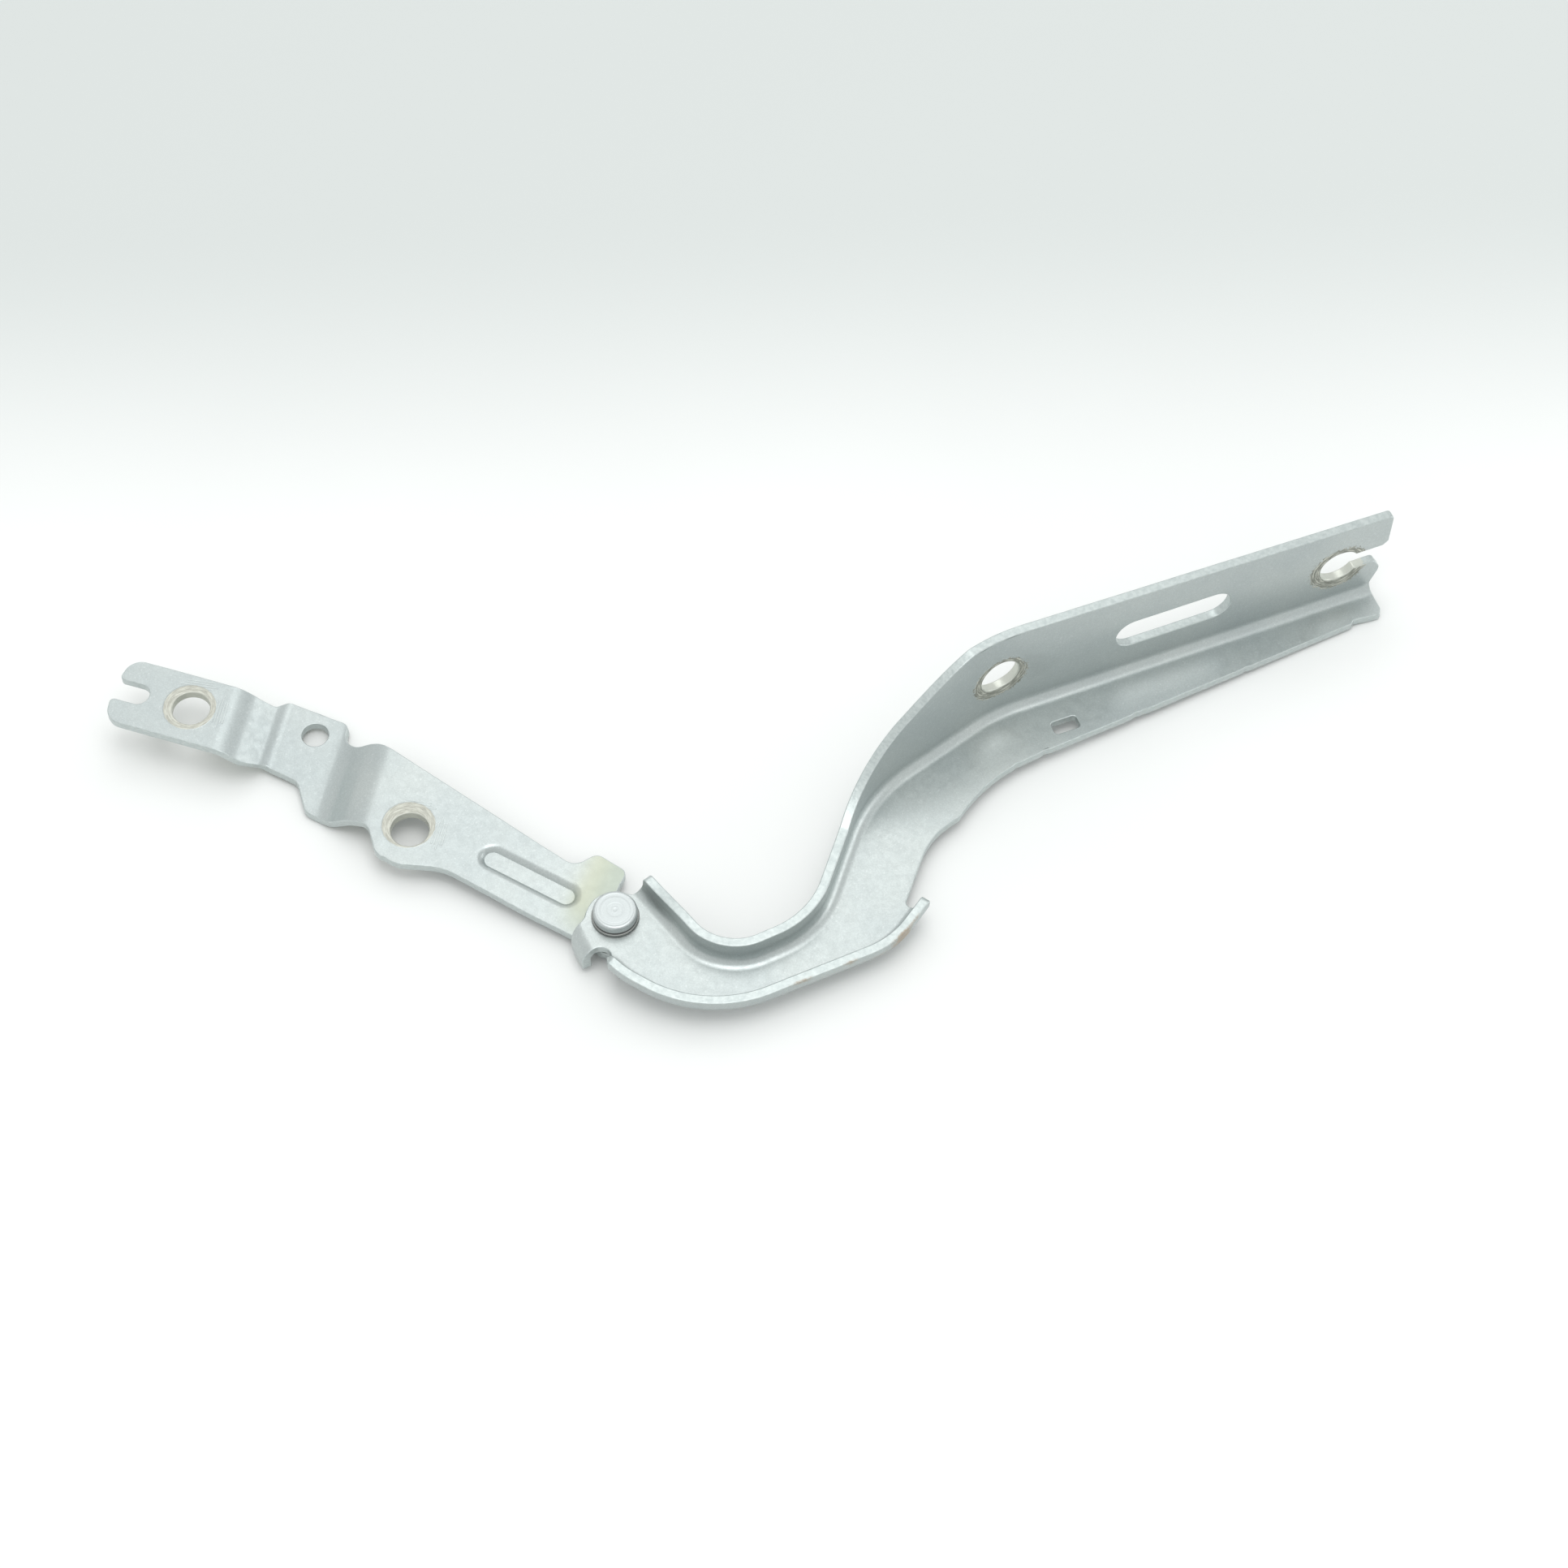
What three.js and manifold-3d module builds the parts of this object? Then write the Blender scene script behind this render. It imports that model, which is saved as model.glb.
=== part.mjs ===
// A gooseneck hinge of a car bonnet, one hand of a left and right pair.
// A stamped body bracket and a stamped bonnet arm turn on one riveted pivot.
// Millimetres, +Z up. Both sheets are drawn in plan round the pivot axis, which is
// the line x = 0, y = 0, and z = 0 is the upper face of the bracket at the pivot.
// The last lines move the whole hinge so that the middle of its base is the origin.

import * as THREE from 'three';
import { mergeVertices } from 'three/addons/utils/BufferGeometryUtils.js';
import Module from 'manifold-3d';

const wasm = await Module();
wasm.setup();

// ---------------------------------------------------------------- dimensions
const SHEET = 3; // thickness of both stampings
const CLEAR = 0.3; // gap between pieces that touch
const ARC_STEP = 12; // degrees of arc to one straight side
const THROUGH = 60; // half the length of a tool that cuts right through
const TOOL_BEHIND = 12; // reach of a flange tool behind and before the flange face
const TOOL_BEFORE = 8;

// heights of the stack at the pivot
const WASHER_THICK = 2;
const WEB_BOTTOM = CLEAR + WASHER_THICK + CLEAR;
const WEB_TOP = WEB_BOTTOM + SHEET;
const FLANGE_THICK = 0.8; // collar of the bush, under the rivet head
const HEAD_BOTTOM = WEB_TOP + CLEAR + FLANGE_THICK + CLEAR;
const HEAD_THICK = 2.9;
const TAIL_THICK = 0.9;
const COLLAR_PROUD = 0.4; // collar below the lower face of the bracket

// radii at the pivot
const SHANK_R = 4;
const HEAD_R = 6.7;
const TAIL_R = 4.8;
const BUSH_R = 6;
const BUSH_FLANGE_R = 7.2;
const WASHER_R = 8.6;
const COLLAR_R = 7.8;
const EAR_R = 9;
const BRACKET_END_R = 10;

// bracket: three flats joined by two joggles, bent square to one direction
const BEND_HEADING = 18; // degrees, heading square to the bends
const STEP_LEVEL = -8.1; // upper face of the low flat
const FORK_LEVEL = 2.4; // upper face of the forked flat
const BRACKET_BEND_R = 5; // to the middle of the sheet
const FORK_HEADING = 12.4;
const BOLT_R = 5.9;
const BOLT_FORK = [-154, -0.2];
const BOLT_PIVOT = [-72.2, -2.2];
const LOCATING_HOLE = [-119.9, 16.1];
const LOCATING_R = 4.15;
const FORK_HALF_WIDTH = 11.9;
const FORK_REACH = 25.5; // bolt hole to the tips
const SLOT_START = 14.2; // bolt hole to the closed end of the fork slot
const SLOT_HALF_WIDTH = 3.7;
const BEAD_FROM = -45;
const BEAD_TO = -19;
const BEAD_Y = 2.1;
const BEAD_DEPTH = 1.6;

// arm: bend radii and wall heights above the upper face of the web
const INNER_BEND = 3.5;
const OUTER_BEND = 2.5;
const HOOK_BEND = 1.5;
const LEG_OVERLAP = 1;
const LIP_START = 7;
const LIP = 8.5;
const LIP_GROWS_OVER = 20;
const FLANGE_HIGH = 39.5;
const FLANGE_LOW = 36;
const RAMP_FROM = 94; // distance along the inner wall
const RAMP_TO = 152;
const FLANGE_FALLS_OVER = 144;
const OUTER_WALL = 4.7;
const HOOK_BOTTOM = -3.2;
const HOOK_LINE = [[-8.2, -12], [-0.9, -17]];
const HOOK_ROOT = [[4, -6], [1.9, -13], [-5.4, -8], [-7.7, -7.6], [-8, -4.6]];
const RELIEF_CENTRE = [3.3, -14]; // round end of the notch beside the hook
const RELIEF_R = 3.3;
const RELIEF_MOUTH = [[0.2, -12.8], [-6.5, -26], [-0.5, -29], [6.4, -15.2]];

// inner wall of the arm, then its outer wall: corners in plan with fillet radii
const INNER_WALL_CORNERS = [[3.8, 11.4], [36.6, -1.6, 18], [54.7, 25.7, 30], [44, 74.5, 50]];
const FLANGE_LEAD = [-20, 60]; // last corner: distance along the flange, fillet radius
const FLANGE_START = [75, 136.9]; // zero of the distances along the bonnet flange
const FLANGE_HEADING = 51.65;
const FLANGE_END = 114;
const OUTER_WALL_CORNERS = [
  [6.4, -16.7], [13, -18.4, 30], [42.3, -19.3, 41], [78.7, 31.8, 30], [79.8, 47.4],
];

// bonnet flange features, as distance along it and height above the web
const ROUND_HOLE = [-18.5, 20];
const FLANGE_HOLE_R = 6.5;
const LONG_SLOT = [27, 54, 18.6];
const LONG_SLOT_R = 6;
const KEYHOLE = [97.5, 18];
const NECK_HALF_WIDTH = 3.7;

// square hole of the web, as distance along the flange and distance out from it
const SQUARE_HOLE = [[-4.6, 10.2], [-4.6, 14.7], [3.9, 14.7], [3.9, 10.2]];

// ---------------------------------------------------------------- solids
const toSolid = (geometry) => {
  const bare = geometry.index ? geometry.clone() : geometry;
  bare.deleteAttribute('normal');
  bare.deleteAttribute('uv');
  const merged = mergeVertices(bare, 1e-4);
  const vertProperties = new Float32Array(merged.attributes.position.array);
  const triVerts = new Uint32Array(merged.index.array);
  return new wasm.Manifold(new wasm.Mesh({ numProp: 3, vertProperties, triVerts }));
};

const toMesh = (name, solid, material) => {
  const { vertProperties, triVerts } = solid.getMesh();
  const geometry = new THREE.BufferGeometry();
  geometry.setAttribute('position', new THREE.BufferAttribute(new Float32Array(vertProperties), 3));
  geometry.setIndex(new THREE.BufferAttribute(new Uint32Array(triVerts), 1));
  geometry.computeVertexNormals();
  const mesh = new THREE.Mesh(geometry, material);
  mesh.name = name;
  return mesh;
};

const radians = THREE.MathUtils.degToRad;
const heading = (degrees) => new THREE.Vector2(Math.cos(radians(degrees)), Math.sin(radians(degrees)));

// Points of a line with filleted corners. A corner is [x, y] or [x, y, radius].
const rounded = (corners, closed = false) => {
  const points = [];
  corners.forEach(([x, y, radius = 0], i) => {
    const here = new THREE.Vector2(x, y);
    const isEnd = !closed && (i === 0 || i === corners.length - 1);
    if (isEnd || radius === 0) {
      points.push(here);
      return;
    }
    const before = corners[(i + corners.length - 1) % corners.length];
    const after = corners[(i + 1) % corners.length];
    const into = new THREE.Vector2(x - before[0], y - before[1]).normalize();
    const out = new THREE.Vector2(after[0] - x, after[1] - y).normalize();
    const turn = Math.atan2(into.cross(out), into.dot(out));
    const centre = here.clone().addScaledVector(into, -radius * Math.tan(Math.abs(turn) / 2));
    const side = new THREE.Vector2(-into.y, into.x).multiplyScalar(radius * Math.sign(turn));
    centre.add(side);
    const steps = Math.max(1, Math.ceil(Math.abs(THREE.MathUtils.radToDeg(turn)) / ARC_STEP));
    for (let k = 0; k <= steps; k += 1) {
      const spoke = side.clone().negate().rotateAround(new THREE.Vector2(), (turn * k) / steps);
      points.push(spoke.add(centre));
    }
  });
  return points;
};

// The left-hand normal at each point of an open line, stretched to keep walls parallel.
const leftNormals = (points) => points.map((point, i) => {
  const before = points[Math.max(i - 1, 0)];
  const after = points[Math.min(i + 1, points.length - 1)];
  const into = (i > 0 ? point.clone().sub(before) : after.clone().sub(point)).normalize();
  const out = (i < points.length - 1 ? after.clone().sub(point) : into.clone()).normalize();
  const mean = into.clone().add(out).normalize();
  return new THREE.Vector2(-mean.y, mean.x).multiplyScalar(1 / mean.dot(into));
});

const offset = (points, distance) => {
  const normals = leftNormals(points);
  return points.map((point, i) => point.clone().addScaledVector(normals[i], distance));
};

const prism = (points, bottom, top) => {
  const shape = new THREE.Shape(points);
  const geometry = new THREE.ExtrudeGeometry(shape, { depth: top - bottom, bevelEnabled: false });
  return toSolid(geometry.translate(0, 0, bottom));
};

const circle = (x, y, radius, sides = 36) => {
  const points = [];
  for (let k = 0; k < sides; k += 1) {
    points.push(heading((360 * k) / sides).multiplyScalar(radius).add(new THREE.Vector2(x, y)));
  }
  return points;
};

// A slot outline with round ends between two points at the same height.
const stadium = (fromX, toX, y, radius) => rounded([
  [fromX - radius, y - radius, radius], [toX + radius, y - radius, radius],
  [toX + radius, y + radius, radius], [fromX - radius, y + radius, radius],
], true);

const turned = (profile, sides = 48) => {
  const points = profile.map(([radius, height]) => new THREE.Vector2(radius, height));
  return toSolid(new THREE.LatheGeometry(points, sides).rotateX(Math.PI / 2));
};

const ring = (inner, outer, bottom, top) => turned([
  [inner, bottom], [outer, bottom], [outer, top], [inner, top], [inner, bottom],
]);

// Triangles of a flat outline, wound the way the outline runs.
const capTriangles = (outline) => {
  const triangles = THREE.ShapeUtils.triangulateShape(outline, []);
  return THREE.ShapeUtils.isClockWise(outline) ? triangles.map(([a, b, c]) => [a, c, b]) : triangles;
};

// A closed body through rings of the same count of points, with flat ends.
const loft = (rings, firstOutline, lastOutline) => {
  const count = rings[0].length;
  const triangles = [];
  for (let i = 0; i < rings.length - 1; i += 1) {
    for (let j = 0; j < count; j += 1) {
      const next = (j + 1) % count;
      const a = i * count;
      const b = a + count;
      triangles.push([a + j, b + j, b + next], [a + j, b + next, a + next]);
    }
  }
  const last = (rings.length - 1) * count;
  triangles.push(...capTriangles(firstOutline));
  capTriangles(lastOutline).forEach(([a, b, c]) => triangles.push([last + a, last + c, last + b]));

  const points = rings.flat();
  const volume = triangles.reduce((sum, [a, b, c]) => (
    sum + points[a].dot(points[b].clone().cross(points[c]))
  ), 0);
  const outward = volume > 0 ? triangles : triangles.map(([a, b, c]) => [a, c, b]);
  const geometry = new THREE.BufferGeometry().setFromPoints(points);
  geometry.setIndex(outward.flat());
  return toSolid(geometry);
};

// ---------------------------------------------------------------- folded walls
// Section of a wall folded up from the web: across is measured from the outer face of
// the wall towards the web, up from the lower face of the web.
const foldedSection = (bend, height) => {
  const outer = bend + SHEET;
  const leg = outer + LEG_OVERLAP;
  const points = [new THREE.Vector2(leg, 0)];
  const steps = 5;
  for (let k = 0; k <= steps; k += 1) {
    const angle = radians(270 - (90 * k) / steps);
    points.push(new THREE.Vector2(outer + outer * Math.cos(angle), outer + outer * Math.sin(angle)));
  }
  points.push(new THREE.Vector2(0, height), new THREE.Vector2(SHEET, height));
  for (let k = steps; k >= 0; k -= 1) {
    const angle = radians(270 - (90 * k) / steps);
    points.push(new THREE.Vector2(outer + bend * Math.cos(angle), outer + bend * Math.sin(angle)));
  }
  points.push(new THREE.Vector2(leg, SHEET));
  return points;
};

// Lofts a folded wall along a line in plan. The line is the outer face of the wall,
// side is +1 with the web on its left and -1 on its right.
const foldedWall = (line, side, bend, heightAt, bottom, rise) => {
  const normals = leftNormals(line);
  let travelled = 0;
  const outlines = [];
  const rings = line.map((point, i) => {
    if (i > 0) travelled += point.distanceTo(line[i - 1]);
    const outline = foldedSection(bend, heightAt(travelled));
    outlines.push(outline);
    return outline.map(({ x: across, y: up }) => {
      const place = point.clone().addScaledVector(normals[i], side * across);
      return new THREE.Vector3(place.x, place.y, bottom + rise * up);
    });
  });
  return loft(rings, outlines[0], outlines[outlines.length - 1]);
};

const smooth = (low, high, value) => THREE.MathUtils.smoothstep(value, low, high);

// ---------------------------------------------------------------- bracket
const forkPoint = (along, across, radius = 0) => {
  const place = new THREE.Vector2(along, across).rotateAround(new THREE.Vector2(), radians(FORK_HEADING));
  return [place.x + BOLT_FORK[0], place.y + BOLT_FORK[1], radius];
};

const bracketOutline = () => rounded([
  forkPoint(-FORK_REACH + 1, FORK_HALF_WIDTH, 5.5),
  forkPoint(-FORK_REACH, SLOT_HALF_WIDTH, 1.4),
  forkPoint(-SLOT_START, SLOT_HALF_WIDTH, 3.6),
  forkPoint(-SLOT_START, -SLOT_HALF_WIDTH, 3.6),
  forkPoint(-FORK_REACH, -SLOT_HALF_WIDTH, 1.4),
  forkPoint(-FORK_REACH + 1.5, -FORK_HALF_WIDTH, 5.5),
  [-132.5, -7.8, 7], [-128, -1.5, 3.5], [-115.2, -1.1, 4], [-107, -9, 4], [-97.5, -9.3, 9],
  [-84.5, -7, 5], [-76.5, -14.8, 6], [-68.5, -14.4, 6], [-56, -8.6, 20], [-25, -9.5, 40],
  [-4, -8.7], [-2, 6], [-6, 10, 1], [-7, 18.3, 2.6], [-18.4, 19.2, 3.2], [-22, 11.9, 5],
  [-97.5, 20.3, 12], [-103.8, 17.8, 6], [-110.6, 18.8, 5], [-112.6, 24.7, 3], [-134.3, 22.3, 3.5],
  [-136.4, 17.4, 3], [-141, 14.7, 14],
], true);

const bracketProfile = () => {
  const middle = SHEET / 2;
  const line = rounded([
    [-190, FORK_LEVEL - middle], [-131.8, FORK_LEVEL - middle, BRACKET_BEND_R],
    [-122.2, STEP_LEVEL - middle, BRACKET_BEND_R], [-97.6, STEP_LEVEL - middle, BRACKET_BEND_R],
    [-86.4, -middle, BRACKET_BEND_R], [20, -middle],
  ]);
  return [...offset(line, -middle), ...offset(line, middle).reverse()];
};

const beadBody = (wide, narrow, from, to) => {
  const first = stadium(BEAD_FROM, BEAD_TO, BEAD_Y, wide);
  const last = stadium(BEAD_FROM, BEAD_TO, BEAD_Y, narrow);
  const lift = (points, z) => points.map((point) => new THREE.Vector3(point.x, point.y, z));
  return loft([lift(first, from), lift(last, to)], first, last);
};

const makeBracket = () => {
  const along = heading(BEND_HEADING);
  const basis = new THREE.Matrix4().makeBasis(
    new THREE.Vector3(along.x, along.y, 0),
    new THREE.Vector3(0, 0, 1),
    new THREE.Vector3(along.y, -along.x, 0),
  );
  const strip = new THREE.ExtrudeGeometry(new THREE.Shape(bracketProfile()), {
    depth: 2 * THROUGH,
    bevelEnabled: false,
  });
  strip.translate(0, 0, -THROUGH).applyMatrix4(basis);
  let body = toSolid(strip).intersect(prism(bracketOutline(), -THROUGH, THROUGH));
  body = body.add(prism(circle(0, 0, BRACKET_END_R, 48), -SHEET, 0));
  body = body.add(beadBody(5.2, 3.4, -SHEET + 0.2, -SHEET - BEAD_DEPTH));
  body = body.subtract(beadBody(4.5, 2.9, 0.2, -BEAD_DEPTH));
  [[BOLT_FORK, BOLT_R], [BOLT_PIVOT, BOLT_R], [LOCATING_HOLE, LOCATING_R], [[0, 0], COLLAR_R + CLEAR]]
    .forEach(([[x, y], radius]) => {
      body = body.subtract(prism(circle(x, y, radius), -THROUGH, THROUGH));
    });
  return body;
};

// ---------------------------------------------------------------- bonnet arm
const flangeWay = heading(FLANGE_HEADING);
const flangeSide = new THREE.Vector2(flangeWay.y, -flangeWay.x); // from the flange over the web

// A point of the web by distance along the bonnet flange and distance out from it.
const webPoint = (along, out, radius = 0) => [
  FLANGE_START[0] + flangeWay.x * along + flangeSide.x * out,
  FLANGE_START[1] + flangeWay.y * along + flangeSide.y * out,
  radius,
];

const INNER_FACE = rounded([
  ...INNER_WALL_CORNERS, webPoint(FLANGE_LEAD[0], 0, FLANGE_LEAD[1]), webPoint(FLANGE_END, 0),
]);

// Height of the inner wall above the lower face of the web: a low lip, a ramp half
// straight and half eased, then a flange that falls slowly to its end.
const innerHeight = (travelled) => {
  const lip = LIP_START + (LIP - LIP_START) * smooth(0, LIP_GROWS_OVER, travelled);
  const rise = THREE.MathUtils.clamp((travelled - RAMP_FROM) / (RAMP_TO - RAMP_FROM), 0, 1);
  const eased = (rise + smooth(0, 1, rise)) / 2;
  const fall = THREE.MathUtils.clamp((travelled - RAMP_TO) / FLANGE_FALLS_OVER, 0, 1);
  return SHEET + lip + (FLANGE_HIGH - LIP) * eased - (FLANGE_HIGH - FLANGE_LOW) * fall;
};

// A line with extra points, so that its longest stretch is shorter than a limit.
const divided = (line, limit, until) => line.flatMap((point, i) => {
  if (i === 0 || i > until) return [point];
  const parts = Math.ceil(point.distanceTo(line[i - 1]) / limit);
  const between = [];
  for (let k = 1; k <= parts; k += 1) between.push(line[i - 1].clone().lerp(point, k / parts));
  return between;
});

// A tool drawn in the plane of the bonnet flange, by distance along and height above the web.
const flangeTool = (points) => {
  const shape = new THREE.Shape(points);
  const depth = TOOL_BEHIND + TOOL_BEFORE;
  const geometry = new THREE.ExtrudeGeometry(shape, { depth, bevelEnabled: false });
  geometry.translate(0, 0, -TOOL_BEHIND);
  geometry.applyMatrix4(new THREE.Matrix4().makeBasis(
    new THREE.Vector3(flangeWay.x, flangeWay.y, 0),
    new THREE.Vector3(0, 0, 1),
    new THREE.Vector3(flangeSide.x, flangeSide.y, 0),
  ));
  geometry.translate(FLANGE_START[0], FLANGE_START[1], WEB_TOP);
  return toSolid(geometry);
};

const webOutline = () => {
  const inner = offset(divided(INNER_FACE, 12, INNER_FACE.length), -(INNER_BEND + LEG_OVERLAP / 2));
  const bendStart = offset(rounded(OUTER_WALL_CORNERS), SHEET + OUTER_BEND + LEG_OVERLAP / 2);
  const outer = bendStart.reverse().slice(1);
  const edge = rounded([
    webPoint(110.5, INNER_BEND), webPoint(110.5, 8), webPoint(109.4, 10.6, 1.4), webPoint(100, 9.5, 1),
    webPoint(98, 10.8, 1), webPoint(-8.5, 19), [72.2, 99.7, 55], [72.3, 47, 2.1], [74.6, 47.2],
  ]).slice(1);
  return [...inner, ...edge, ...outer, ...rounded(HOOK_ROOT)];
};

const makeArm = () => {
  const outerFace = offset(INNER_FACE, SHEET);
  const wallLine = divided(outerFace, 6, outerFace.length - 2);
  let body = prism(webOutline(), WEB_BOTTOM, WEB_TOP);
  body = body.add(prism(circle(0, 0, EAR_R, 48), WEB_BOTTOM, WEB_TOP));
  body = body.add(foldedWall(wallLine, -1, INNER_BEND, innerHeight, WEB_BOTTOM, 1));
  const outerHeight = () => SHEET + OUTER_WALL;
  body = body.add(foldedWall(rounded(OUTER_WALL_CORNERS), 1, OUTER_BEND, outerHeight, WEB_BOTTOM, 1));
  const hookHeight = () => WEB_TOP - HOOK_BOTTOM;
  body = body.add(foldedWall(rounded(HOOK_LINE), 1, HOOK_BEND, hookHeight, WEB_TOP, -1));

  body = body.subtract(prism(rounded(RELIEF_MOUTH), -THROUGH, THROUGH));
  body = body.subtract(prism(circle(...RELIEF_CENTRE, RELIEF_R), -THROUGH, THROUGH));
  const squareHole = rounded(SQUARE_HOLE.map(([along, out]) => webPoint(along, out, 1)), true);
  body = body.subtract(prism(squareHole, -THROUGH, THROUGH));
  body = body.subtract(prism(circle(0, 0, BUSH_R + CLEAR), -THROUGH, THROUGH));

  body = body.subtract(flangeTool(circle(ROUND_HOLE[0], ROUND_HOLE[1], FLANGE_HOLE_R)));
  body = body.subtract(flangeTool(stadium(LONG_SLOT[0], LONG_SLOT[1], LONG_SLOT[2], LONG_SLOT_R)));
  body = body.subtract(flangeTool(circle(KEYHOLE[0], KEYHOLE[1], FLANGE_HOLE_R)));
  const [keyAlong, keyHeight] = KEYHOLE;
  const beyond = FLANGE_END + 4;
  const tip = [
    [keyAlong, keyHeight + NECK_HALF_WIDTH], [keyAlong, keyHeight - NECK_HALF_WIDTH],
    [FLANGE_END - 4, keyHeight - NECK_HALF_WIDTH], [FLANGE_END - 1.4, 10.5], [FLANGE_END - 1.4, 8.5],
    [FLANGE_END - 3.5, 3], [FLANGE_END - 3.5, -8], [beyond, -8], [beyond, keyHeight + NECK_HALF_WIDTH + 5],
    [FLANGE_END, keyHeight + NECK_HALF_WIDTH + 1.8], [FLANGE_END - 1.8, keyHeight + NECK_HALF_WIDTH],
  ].map(([x, y]) => new THREE.Vector2(x, y));
  return body.subtract(flangeTool(tip));
};

// ---------------------------------------------------------------- pivot pieces
const makeRivet = () => {
  const headTop = HEAD_BOTTOM + HEAD_THICK;
  const edge = 0.5;
  const tailTop = -SHEET - COLLAR_PROUD - CLEAR;
  const tailEnd = tailTop - TAIL_THICK;
  return turned([
    [0, tailEnd], [TAIL_R - edge, tailEnd], [TAIL_R, tailEnd + edge], [TAIL_R, tailTop],
    [SHANK_R, tailTop], [SHANK_R, HEAD_BOTTOM], [HEAD_R, HEAD_BOTTOM], [HEAD_R, headTop - edge],
    [HEAD_R - edge, headTop], [0, headTop],
  ]);
};

const makeBush = () => {
  const bore = SHANK_R + CLEAR;
  const flangeBottom = WEB_TOP + CLEAR;
  return turned([
    [bore, WEB_BOTTOM], [BUSH_R, WEB_BOTTOM], [BUSH_R, flangeBottom], [BUSH_FLANGE_R, flangeBottom],
    [BUSH_FLANGE_R, flangeBottom + FLANGE_THICK], [bore, flangeBottom + FLANGE_THICK], [bore, WEB_BOTTOM],
  ]);
};

const makeThrustWasher = () => ring(SHANK_R + CLEAR, WASHER_R, CLEAR, CLEAR + WASHER_THICK);

const makeCollar = () => ring(SHANK_R + CLEAR, COLLAR_R, -SHEET - COLLAR_PROUD, 0);

// ---------------------------------------------------------------- assembly
const paint = () => new THREE.MeshStandardMaterial({ color: 0xaab4b8, roughness: 0.42, metalness: 0.75 });
const steel = () => new THREE.MeshStandardMaterial({ color: 0xb9bfc0, roughness: 0.35, metalness: 0.9 });
const lining = () => new THREE.MeshStandardMaterial({ color: 0x8a7f6a, roughness: 0.6, metalness: 0.3 });

const hinge = new THREE.Group();
hinge.add(
  toMesh('body_bracket', makeBracket(), paint()),
  toMesh('bonnet_arm', makeArm(), paint()),
  toMesh('pivot_rivet', makeRivet(), steel()),
  toMesh('pivot_bush', makeBush(), lining()),
  toMesh('thrust_washer', makeThrustWasher(), lining()),
  toMesh('pivot_collar', makeCollar(), steel()),
);

const box = new THREE.Box3().setFromObject(hinge);
const base = box.getCenter(new THREE.Vector3()).setZ(box.min.z);
hinge.position.copy(base.negate());

export default hinge;
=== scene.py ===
"""A car bonnet hinge: two painted stampings that turn on one riveted pivot.

Each new piece is a surface worked out with numpy, in millimetres round the pivot axis, where
z = 0 is the upper face of the bracket at the pivot. It is then moved into the frame, in metres.
"""

import math

import bpy
import numpy as np
from mathutils import Matrix, Vector
from mathutils.geometry import delaunay_2d_cdt


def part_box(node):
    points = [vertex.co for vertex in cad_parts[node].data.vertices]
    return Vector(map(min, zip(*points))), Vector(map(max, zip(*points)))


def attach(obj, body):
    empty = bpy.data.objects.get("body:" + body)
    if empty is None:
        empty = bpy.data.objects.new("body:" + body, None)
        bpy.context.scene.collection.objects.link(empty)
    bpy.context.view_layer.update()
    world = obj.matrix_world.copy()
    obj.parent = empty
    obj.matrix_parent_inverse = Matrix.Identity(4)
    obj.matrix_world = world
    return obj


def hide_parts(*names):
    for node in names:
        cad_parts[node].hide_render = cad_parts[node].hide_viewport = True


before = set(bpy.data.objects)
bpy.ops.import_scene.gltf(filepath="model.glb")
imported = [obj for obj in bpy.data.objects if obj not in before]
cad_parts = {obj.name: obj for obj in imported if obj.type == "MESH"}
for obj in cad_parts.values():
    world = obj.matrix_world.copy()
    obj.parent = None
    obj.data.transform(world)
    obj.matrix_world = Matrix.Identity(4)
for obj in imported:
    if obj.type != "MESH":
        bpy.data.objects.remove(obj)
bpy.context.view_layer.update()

bl_info = {
    "name": "Bonnet hinge",
    "version": (1, 0, 0),
    "blender": (4, 5, 0),
    "location": "3D View > Sidebar > Bonnet hinge",
    "description": "Builds the painted stampings and the riveted pivot of a car bonnet hinge",
    "category": "Object",
}

MM = 0.001

# ---------------------------------------------------------------- where the pivot is
RIVET_LOW, RIVET_HIGH = (np.array(corner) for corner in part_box("pivot_rivet"))
PIVOT = np.array([*(RIVET_LOW + RIVET_HIGH)[:2] / 2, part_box("pivot_collar")[1].z])

# ---------------------------------------------------------------- sizes, in millimetres
SHEET = 3.0
MIDDLE = SHEET / 2
CLEAR = 0.3
WASHER_TOP = 2.3
WEB_TOP = WASHER_TOP + CLEAR + SHEET
WEB_MIDDLE = WEB_TOP - MIDDLE
BUSH_FLANGE_TOP = 6.7
HEAD_BOTTOM = 7.0
HEAD_TOP = 9.9
COLLAR_BOTTOM = -3.4
TAIL_TOP = -3.7
TAIL_BOTTOM = -4.6

SHANK_R = 4.0
HEAD_R = 6.7
TAIL_R = 4.8
BUSH_R = 6.0
BUSH_FLANGE_R = 7.2
WASHER_R = 8.6
COLLAR_R = 7.8
EAR_R = 9.0
ARM_PIVOT_HOLE_R = 6.3
BRACKET_PIVOT_HOLE_R = 8.1
BRACKET_END_R = 10.0

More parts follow.
